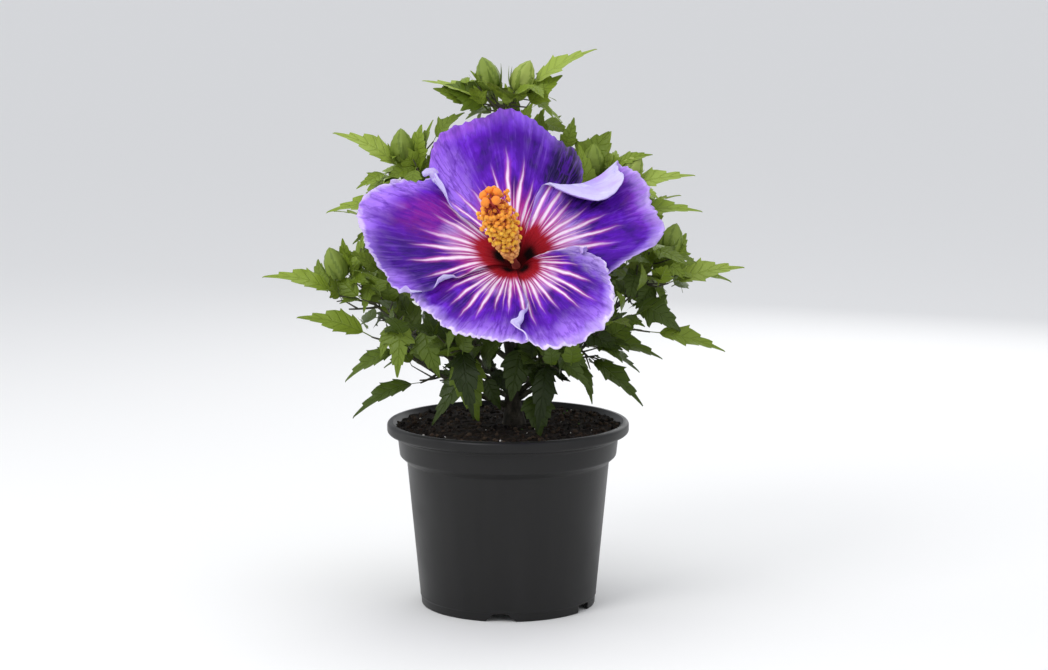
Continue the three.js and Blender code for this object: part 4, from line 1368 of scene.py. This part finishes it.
def petalPoint(petal, sideways, out):  # sideways from -1 to 1, out from 0 at the foot to 1
    turn, seed = petal["turn"], petal["seed"]
    opened = min(1, 1.6 * out) ** 0.7 if out > 0 else 0
    half = math.radians(lerp(petalForm["narrow"], petalForm["wide"], opened))
    half *= 1 - petalForm["rounding"] * out ** 4
    angle = math.radians(turn) + sideways * half
    scallop = 1 + petalForm["scallop"] * math.sin((petalForm["waves"] + 2) * sideways + turn)
    for fine, layer, deep in petalForm["bites"]:
        scallop += deep * noise.noise(Vector((fine * sideways, seed, layer)))
    edge = petal["length"] * scallop * (1 - petal["narrowing"] * abs(sideways) ** petal["curve"])
    edge *= 1 + petal["lopsided"] * sideways
    for at, wide, high in petal["waves"]:
        edge *= 1 + high * bell(sideways - at, wide)
    radius = lerp(petalForm["root"], edge, out)
    tilt = petalForm["tilt"] * sideways * min(1, 5 * out)
    wave = math.sin(petalForm["waves"] * sideways + turn)
    ruffle = petalForm["ruffle"] * out ** 3 * (1 - sideways ** 2) * wave
    rim = max(out, 0.9 * abs(sideways) * min(1, 3 * out))
    frill = petalForm["frill"] * rim ** 7 * noise.noise(Vector((6 * sideways, 6 * out, seed)))
    frill += petalForm["fineFrill"] * rim ** 12 * math.sin(24 * sideways + 14 * out + seed + 6 * frill)
    frill *= petal["frill"]
    ribs = noise.noise(Vector((13 * sideways, 2.2 * out, seed)))
    dents = noise.noise(Vector((6 * sideways, 5 * out, seed + 9)))
    crinkle = petalForm["crinkle"] * (0.8 * ribs + dents) * out ** 0.8
    height = cupHeight(angle, radius) + tilt + ruffle + frill + crinkle
    return Vector((radius * math.cos(angle), radius * math.sin(angle), height))


def bloomSurface(x, y):
    return cupHeight(math.atan2(y, x), math.hypot(x, y))


def foldedPoint(fold, point):  # folds what lies beyond a bent crease back over the petal
    start, end = Vector(fold["from"]), Vector(fold["to"])
    flat = Vector((point.x, point.y))
    length = (end - start).length
    ahead = (end - start) / length
    aside = Vector((-ahead.y, ahead.x))
    share = (flat - start).dot(ahead) / length
    crease = fold["bulge"] * 4 * share * (1 - share) if 0 < share < 1 else 0
    if share < 0:
        crease = petalForm["creaseStart"] * share ** 2
    past = (flat - start).dot(aside) - crease
    if past <= 0:
        return point
    foot = flat - aside * past
    offset = point.z - bloomSurface(*flat)
    turn = min(past / fold["radius"], petalForm["foldTurn"])
    rest = past - turn * fold["radius"]
    across = fold["radius"] * math.sin(turn) + rest * math.cos(turn)
    height = fold["radius"] * (1 - math.cos(turn)) + rest * math.sin(turn)
    place = foot + aside * across
    return Vector((place.x, place.y, bloomSurface(*place) + offset + height))


def rolledPoint(petal, sideways, out):  # rolls the margin on one side of a petal forwards
    point = petalPoint(petal, sideways, out)
    for roll in petal["rolls"]:
        ragged = 1 + petalForm["raggedRoll"] * noise.noise(Vector((9 * out, petal["seed"], 5)))
        reach = roll["width"] * bell(out - roll["middle"], roll["spread"]) * ragged
        half = (petalPoint(petal, 1, out) - petalPoint(petal, 0, out)).length
        past = reach - (1 - sideways) * half
        if past <= 0 or reach < 0.3:
            continue
        fold = 1 - reach / half
        base = petalPoint(petal, fold, out)
        towards = (base - petalPoint(petal, fold - 0.03, out)).normalized()
        outwards = (petalPoint(petal, fold, out + 0.02) - base).normalized()
        face = outwards.cross(towards).normalized()
        if face.z < 0:
            face.negate()
        turn = min(past / roll["radius"], petalForm["rollTurn"])
        rest = past - turn * roll["radius"]
        point = base + (towards * math.sin(turn) + face * (1 - math.cos(turn))) * roll["radius"]
        point += (towards * math.cos(turn) + face * math.sin(turn)) * rest
    return foldedPoint(petal["fold"], point) if "fold" in petal else point


def petalPlace(tree):  # from -1 to 1 across the petal, and from 0 to 1 out along it
    split = addNode(tree, "SeparateXYZ", {0: addNode(tree, "UVMap", uv_map="petalPlace").outputs[0]})
    return calc(tree, "MULTIPLY_ADD", split.outputs[0], 2, -1), split.outputs[1]


def petalNoise(tree, side, out, across, along, seed, detail):
    place = addNode(tree, "CombineXYZ", {0: times(tree, side, across), 1: times(tree, out, along), 2: seed})
    return addNode(tree, "TexNoise", {"Vector": place.outputs[0], "Scale": 1, "Detail": detail}).outputs[0]


def tint(tree, field, mask, name):  # lays a colour over the field, as far as the mask lets it
    return mixColour(tree, mask, field, petalColours[name])


def petalRamp(tree, value, stops):
    return ramp(tree, value, [(place, petalColours[name]) for place, name in stops])


petalBands = {  # how far out each colour lies
    "front": [(0, "crimson"), (0.19, "crimson"), (0.245, "ruby"), (0.31, "magenta"), (0.4, "plum"),
              (0.52, "violet"), (0.85, "violet"), (1, "blue")],
    "eye": [(0.05, "dark"), (0.17, "crimson")],
    "back": [(0, "backFoot"), (0.12, "backThroat"), (0.4, "backField"), (0.75, "backBlue"), (1, "backPale")],
}
petalFades = {  # from where to where a mask fades in; then its lowest and highest value, where it has them
    "shade": (0.53, 0.34, 0, 0.8), "blue": (0.52, 0.7, 0, 0.65), "patch": (1.25, 0.3, 0),
    "streak": (0.5, 0.7), "streakOut": (0.35, 0.95, 0.04, 0.2),
    "hollow": (0.46, 0.3), "hollowOut": (0.3, 0.6, 0, 0.35), "crease": (0.3, 0.5, 0),
    "flush": (0.44, 0.24, 0, 0.8), "eye": (0.3, 0.2), "veins": (0.21, 0.3),
    "gapShade": (0.14, 0.09), "gapShadeFoot": (0.03, 0.06), "gapShadeSide": (0.85, 0.3),
    "outer": (0.35, 0.65), "margin": (0.86, 1.02, 0), "rim": (0.97, 1, 0),
    "backEdge": (0.5, 0.85, 0, 0.85), "backMauve": (0.5, 0.7, 0, 0.6), "backWhite": (0.46, 0.3, 0, 0.7),
}
veining = {
    "orders": [(1, 1, 1, 0.34), (2, 0.8, 0.74, 0.28)],  # how many, how strong, how long and how thick
    "wander": 0.8, "from": 0.18, "thin": 0.05, "sharp": 0.15, "uneven": 0.1, "ending": 0.3,
    "glow": 0.16, "haloStrength": 0.85,
}


def petalGround(tree, petal, side, out, broad, mottle, fibre):  # bands, patches, streaks, painted shade in hollows and creases, and eye
    field = petalRamp(tree, plus(tree, out, centred(tree, broad, 0.16)), petalBands["front"])
    for name in ("shade", "blue"):
        field = tint(tree, field, fade(tree, mottle, *petalFades[name]), name)
    for atSide, atOut, wide, deep, tone, strength in petal["patches"]:
        away, reach = (
            calc(tree, "POWER", calc(tree, "DIVIDE", calc(tree, "SUBTRACT", value, middle), half), 2)
            for value, middle, half in ((side, atSide, wide), (out, atOut, deep))
        )
        distance = calc(tree, "SQRT", plus(tree, away, reach))
        ragged = plus(tree, distance, centred(tree, mottle, 1.2))
        field = tint(tree, field, fade(tree, ragged, *petalFades["patch"], strength), tone)
    # pale streaks, and painted shade in the hollows between them
    for name, tone in (("streak", "lavender"), ("hollow", "crease")):
        lines = fade(tree, fibre, *petalFades[name])
        field = tint(tree, field, times(tree, lines, fade(tree, out, *petalFades[name + "Out"])), tone)
    # thin dark lines of painted shade where the petal wrinkles
    creaseShading = fade(tree, out, *petalFades["crease"], petal["creaseShades"])
    for wide, long, thin in petalForm["creaseShades"]:
        folds = petalNoise(tree, side, out, wide, long, petal["seed"] + wide, 4)
        ridge = calc(tree, "ABSOLUTE", centred(tree, folds, 1))
        field = tint(tree, field, times(tree, fade(tree, ridge, thin, 0), creaseShading), "crease")
    flush = fade(tree, plus(tree, out, centred(tree, fibre, 0.16)), *petalFades["flush"])
    field = tint(tree, field, flush, "flush")
    eye = fade(tree, plus(tree, out, centred(tree, fibre, 0.1)), *petalFades["eye"])
    return mixColour(tree, eye, field, petalRamp(tree, out, petalBands["eye"]))


def petalVeins(tree, petal, side, out, broad):  # pale veins in two orders, and the halo round them
    wander = centred(tree, broad, veining["wander"])
    core, halo = 0, 0
    for density, strength, share, thick in veining["orders"]:
        count = calc(tree, "MULTIPLY_ADD", side, petal["veins"] * density / 2, wander)
        number = calc(tree, "FLOOR", plus(tree, count, 0.5))
        offset = calc(tree, "ABSOLUTE", calc(tree, "SUBTRACT", count, number))
        uneven = calc(tree, "SINE", calc(tree, "MULTIPLY_ADD", number, 5.1, petal["seed"]))
        end = calc(tree, "MULTIPLY_ADD", uneven, veining["uneven"], petal["reach"] * share)
        width = fade(tree, out, veining["from"], end, thick, veining["thin"])
        line = fade(tree, offset, width, times(tree, width, veining["sharp"]))
        ending = fade(tree, out, end, calc(tree, "SUBTRACT", end, veining["ending"]))
        wide = fade(tree, offset, plus(tree, width, veining["glow"]), 0)
        core = calc(tree, "MAXIMUM", core, times(tree, times(tree, line, ending), strength))
        halo = calc(tree, "MAXIMUM", halo, times(tree, times(tree, wide, ending), strength))
    return core, halo


def petalMargin(tree, petal, field, side, out, mottle, fibre):  # painted shade in the gaps between the petals' feet, and a pale margin
    sideways = calc(tree, "ABSOLUTE", side)
    gapShade = times(tree, fade(tree, out, *petalFades["gapShade"]), fade(tree, out, *petalFades["gapShadeFoot"]))
    gapShade = times(tree, gapShade, fade(tree, sideways, *petalFades["gapShadeSide"]))
    field = tint(tree, field, gapShade, "gapShade")
    edge = calc(tree, "MAXIMUM", out, times(tree, sideways, 0.985))
    edge = plus(tree, plus(tree, edge, centred(tree, mottle, 0.16)), centred(tree, fibre, 0.035))
    outer = fade(tree, out, *petalFades["outer"])
    for name, tone in (("margin", "pale"), ("rim", "rim")):
        pale = fade(tree, edge, *petalFades[name], petal[name])
        field = tint(tree, field, times(tree, pale, outer), tone)
    return field


def petalFinish(name, petal):
    material, tree, shader = newMaterial(name, Roughness=0.6, Specular_IOR_Level=0.12)
    side, out = petalPlace(tree)
    broad = petalNoise(tree, side, out, 2.2, 2.6, petal["seed"], 3)
    mottle = petalNoise(tree, side, out, 6, 7, petal["seed"] + 3, 5)
    fibre = petalNoise(tree, side, out, 30, 3.2, petal["seed"], 4)
    field = petalGround(tree, petal, side, out, broad, mottle, fibre)
    core, halo = petalVeins(tree, petal, side, out, broad)
    start = fade(tree, plus(tree, out, centred(tree, fibre, 0.14)), *petalFades["veins"])
    core = times(tree, core, start)
    halo = times(tree, times(tree, halo, start), veining["haloStrength"])
    field = tint(tree, tint(tree, field, halo, "halo"), core, "vein")
    field = petalMargin(tree, petal, field, side, out, mottle, fibre)
    tree.links.new(field, shader.inputs["Base Color"])
    relief = plus(tree, calc(tree, "MULTIPLY_ADD", core, -0.5, fibre), centred(tree, mottle, 2))
    addBump(tree, shader, relief, 0.8, 0.0015)
    return material


def petalBack():
    material, tree, shader = newMaterial("petalBack", Roughness=0.65, Specular_IOR_Level=0.15)
    side, out = petalPlace(tree)
    fibre = petalNoise(tree, side, out, 30, 3, 0, 3)
    out = plus(tree, out, centred(tree, fibre, 0.25))
    field = petalRamp(tree, out, petalBands["back"])
    edge = fade(tree, calc(tree, "ABSOLUTE", side), *petalFades["backEdge"])
    field = tint(tree, field, edge, "backPale")
    mottle = petalNoise(tree, side, out, 7, 8, 3, 4)
    for name in ("backMauve", "backWhite"):
        field = tint(tree, field, fade(tree, mottle, *petalFades[name]), name)
    tree.links.new(field, shader.inputs["Base Color"])
    addBump(tree, shader, plus(tree, fibre, centred(tree, mottle, 2)), 0.6, 0.0015)
    return material


def makePetals():
    backFinish = petalBack()
    for name, petal in petals.items():
        shape = bmesh.new()
        shape.loops.layers.uv.new("petalPlace")
        bmesh.ops.create_grid(shape, x_segments=petalForm["columns"], y_segments=petalForm["rows"], size=1,
                              calc_uvs=True)
        for vert in shape.verts:
            vert.co = rolledPoint(petal, vert.co.x, (vert.co.y + 1) / 2)
        bmesh.ops.transform(shape, matrix=bloomFrame, verts=shape.verts)
        shape.normal_update()
        if sum((face.normal for face in shape.faces), Vector()).dot(bloomAxis) < 0:
            bmesh.ops.reverse_faces(shape, faces=shape.faces)
        pieceName = "petal" + name.title().replace("_", "")
        finishes = [petalFinish(pieceName, petal), backFinish]
        piece = addPiece(pieceName, shape, finishes, ["petal_" + name])
        solid = piece.modifiers.new("thickness", "SOLIDIFY")
        solid.thickness, solid.offset, solid.material_offset = petalForm["thickness"] * mm, 0, 1


makePetals()


# column, calyx and stalk

column = {
    "length": 60, "lean": (-5, 5), "bend": (-11, 14), "sunk": 1, "steps": 40,
    "radius": 2.1, "tipRadius": 1.2, "flare": 2.2, "flareFall": 1.5, "seed": 31,
    "filaments": 520, "shares": (0.2, 0.94), "filament": 13, "lengths": (0.3, 1.08), "ahead": (0.2, 0.6),
    "filamentRadii": (0.3, 0.25, 0.22), "filamentBow": 0.4,
    "anther": 1.75, "antherSizes": (0.8, 1.15), "squash": (1.25, 1, 0.8), "mixed": 0.16,
    "styles": 5, "styleShare": 0.98, "style": 8.5, "styleAside": 0.8, "styleRadii": (0.8, 0.7, 0.6),
    "stigma": 3.4,
    "colours": {
        "columnSkin": (0.5, 0.06, 0.05), "antherPeach": (0.9, 0.46, 0.13), "antherGold": (0.96, 0.53, 0.04),
        "antherAmber": (0.92, 0.36, 0.03), "stigmaOrange": (0.9, 0.26, 0.02),
        "filamentPale": (0.85, 0.55, 0.3),
    },
    "changes": (0.45, 0.74),  # the shares of the column where peach gives way to gold, and gold to amber
    "relief": {"scale": 1600, "detail": 4, "strength": 0.6, "distance": 0.0004},
}


def makeColumn():
    random = dice(column["seed"])
    foot = Vector((0, 0, cupHeight(0, stalk["petalRoot"]) - column["sunk"]))
    lean, top = Vector((*column["lean"], column["length"] / 2)), Vector((*column["bend"], column["length"]))
    line = evenly(bentLine(foot, lean, top), column["steps"])
    radii = tapered(column["radius"], column["tipRadius"], column["steps"], column["flare"],
                    column["flareFall"])
    index = {name: number for number, name in enumerate(column["colours"])}
    lines = [(line, radii, index["columnSkin"])]
    knobs = []
    for count in range(column["filaments"]):
        share = lerp(*column["shares"], count / (column["filaments"] - 1))
        ahead = directionAlong(line, share) * lerp(*column["ahead"], random())
        root = pointAlong(line, share)
        away = (around(count * goldenAngle) + ahead).normalized()
        length = column["filament"] * min(1, 0.2 + 1.2 * share) * lerp(*column["lengths"], random())
        end = root + away * length
        bow = root.lerp(end, 0.5) + up * column["filamentBow"]
        lines.append(([root, bow, end], column["filamentRadii"], index["filamentPale"]))
        tone = share + column["mixed"] * (random() - 0.5)
        size = column["anther"] * lerp(*column["antherSizes"], random())
        passed = sum(tone >= change for change in column["changes"])
        knobs.append((end, away, size, index["antherPeach"] + passed))
    root = pointAlong(line, column["styleShare"])
    ahead = directionAlong(line, column["styleShare"])
    for count in range(column["styles"]):
        away = around(2 * math.pi * count / column["styles"] + 0.5) * column["styleAside"] + ahead
        end = root + away.normalized() * column["style"]
        lines.append(([root, root.lerp(end, 0.5), end], column["styleRadii"], index["stigmaOrange"]))
        knobs.append((end, away.normalized(), column["stigma"], index["stigmaOrange"]))
    shape = tubes(lines, 1)
    ball = bmesh.new()
    bmesh.ops.create_icosphere(ball, subdivisions=1, radius=1)
    for vert in ball.verts:
        vert.co *= 1 + 0.14 * noise.noise(vert.co * 2.2)
        vert.co.x *= 1 - 0.22 * math.cos(vert.co.y * 2)
    template = makeTemplate("anther", ball)
    for place, away, size, colour in knobs:
        turn = away.to_track_quat("Z", "Y").to_matrix().to_4x4() @ Matrix.Rotation(6 * random(), 4, "Z")
        squash = Matrix.Diagonal((*(size * share for share in column["squash"]), 1))
        stamp(shape, template, Matrix.Translation(place) @ turn @ squash, colour)
    bpy.data.meshes.remove(template)
    bmesh.ops.transform(shape, matrix=bloomFrame, verts=shape.verts)
    materials = plainFinishes(column["colours"], column["relief"], Roughness=0.75, Sheen_Weight=0.05)
    addPiece("stamenColumn", shape, materials, ["column"])


calyx = {
    "topRadius": 3.8, "ridge": 0.05, "ceiling": 1.6, "hollow": 0.08, "against": 0.93,
    "dark": (0.05, 0.1, 0.02), "light": (0.14, 0.24, 0.05),
    "rings": [  # sepals, and bracts outside them
        {"count": 5, "length": 20, "half": 5.2, "spread": 5.5, "foot": 0.45},
        {"count": 7, "length": 17, "half": 1, "spread": 8, "foot": 0.1},
    ],
}


def addSepal(shape, ring, angle, bottom):
    added = bmesh.ops.create_grid(shape, x_segments=4, y_segments=8, size=1)["verts"]
    for vert in added:
        share = (vert.co.y + 1) / 2
        width = ring["half"] * math.sin(math.pi * (0.25 + 0.74 * share)) ** 0.8
        radius = stalk["calyxRadius"] * calyx["against"] + ring["spread"] * share ** 1.5
        height = bottom + stalk["calyxDepth"] * ring["foot"] + ring["length"] * share * 0.8
        height = min(height, cupHeight(angle, radius) - calyx["ceiling"])
        place = Vector((radius - calyx["hollow"] * vert.co.x ** 2 * width, vert.co.x * width, height))
        vert.co = Matrix.Rotation(angle, 3, "Z") @ place


def makeCalyx():
    depth, wide = stalk["calyxDepth"], stalk["calyxRadius"]
    bottom = calyxTop - depth
    profile = [
        (0, bottom), (stalk["radius"] + 0.6, bottom), (0.7 * wide, bottom + 0.2 * depth),
        (wide, bottom + depth / 2), (wide, calyxTop - 1), (calyx["topRadius"], calyxTop), (0, calyxTop),
    ]
    shape = turned(rounded(profile, 3, 5), 60)
    for vert in shape.verts:
        angle = math.atan2(vert.co.y, vert.co.x)
        ridge = 1 + calyx["ridge"] * (abs(math.cos(2.5 * angle)) ** 3 * 2 - 1)
        vert.co.x, vert.co.y = vert.co.x * ridge, vert.co.y * ridge
    for ring in calyx["rings"]:
        for count in range(ring["count"]):
            addSepal(shape, ring, 2 * math.pi * count / ring["count"] + 0.3, bottom)
    bmesh.ops.transform(shape, matrix=bloomFrame, verts=shape.verts)
    material, tree, shader = newMaterial("calyxGreen", Roughness=0.6, Sheen_Weight=0.1)
    veins = grain(tree, 300, 5)
    colour = ramp(tree, veins, [(0.35, calyx["dark"]), (0.7, calyx["light"])])
    tree.links.new(colour, shader.inputs["Base Color"])
    addBump(tree, shader, veins, 0.5, 0.0006)
    addPiece("bloomCalyx", shape, [material], ["calyx"])
    radii = tapered(stalk["radius"], stalk["radius"], stalk["steps"], stalk["flare"])
    rod = tubes([(stalkLine, radii, 0)], 3)
    roughen(rod, stalk["relief"], stalk["reliefSize"])
    addPiece("bloomStalk", rod, [material], ["bloom_stalk"])


makeColumn()
makeCalyx()
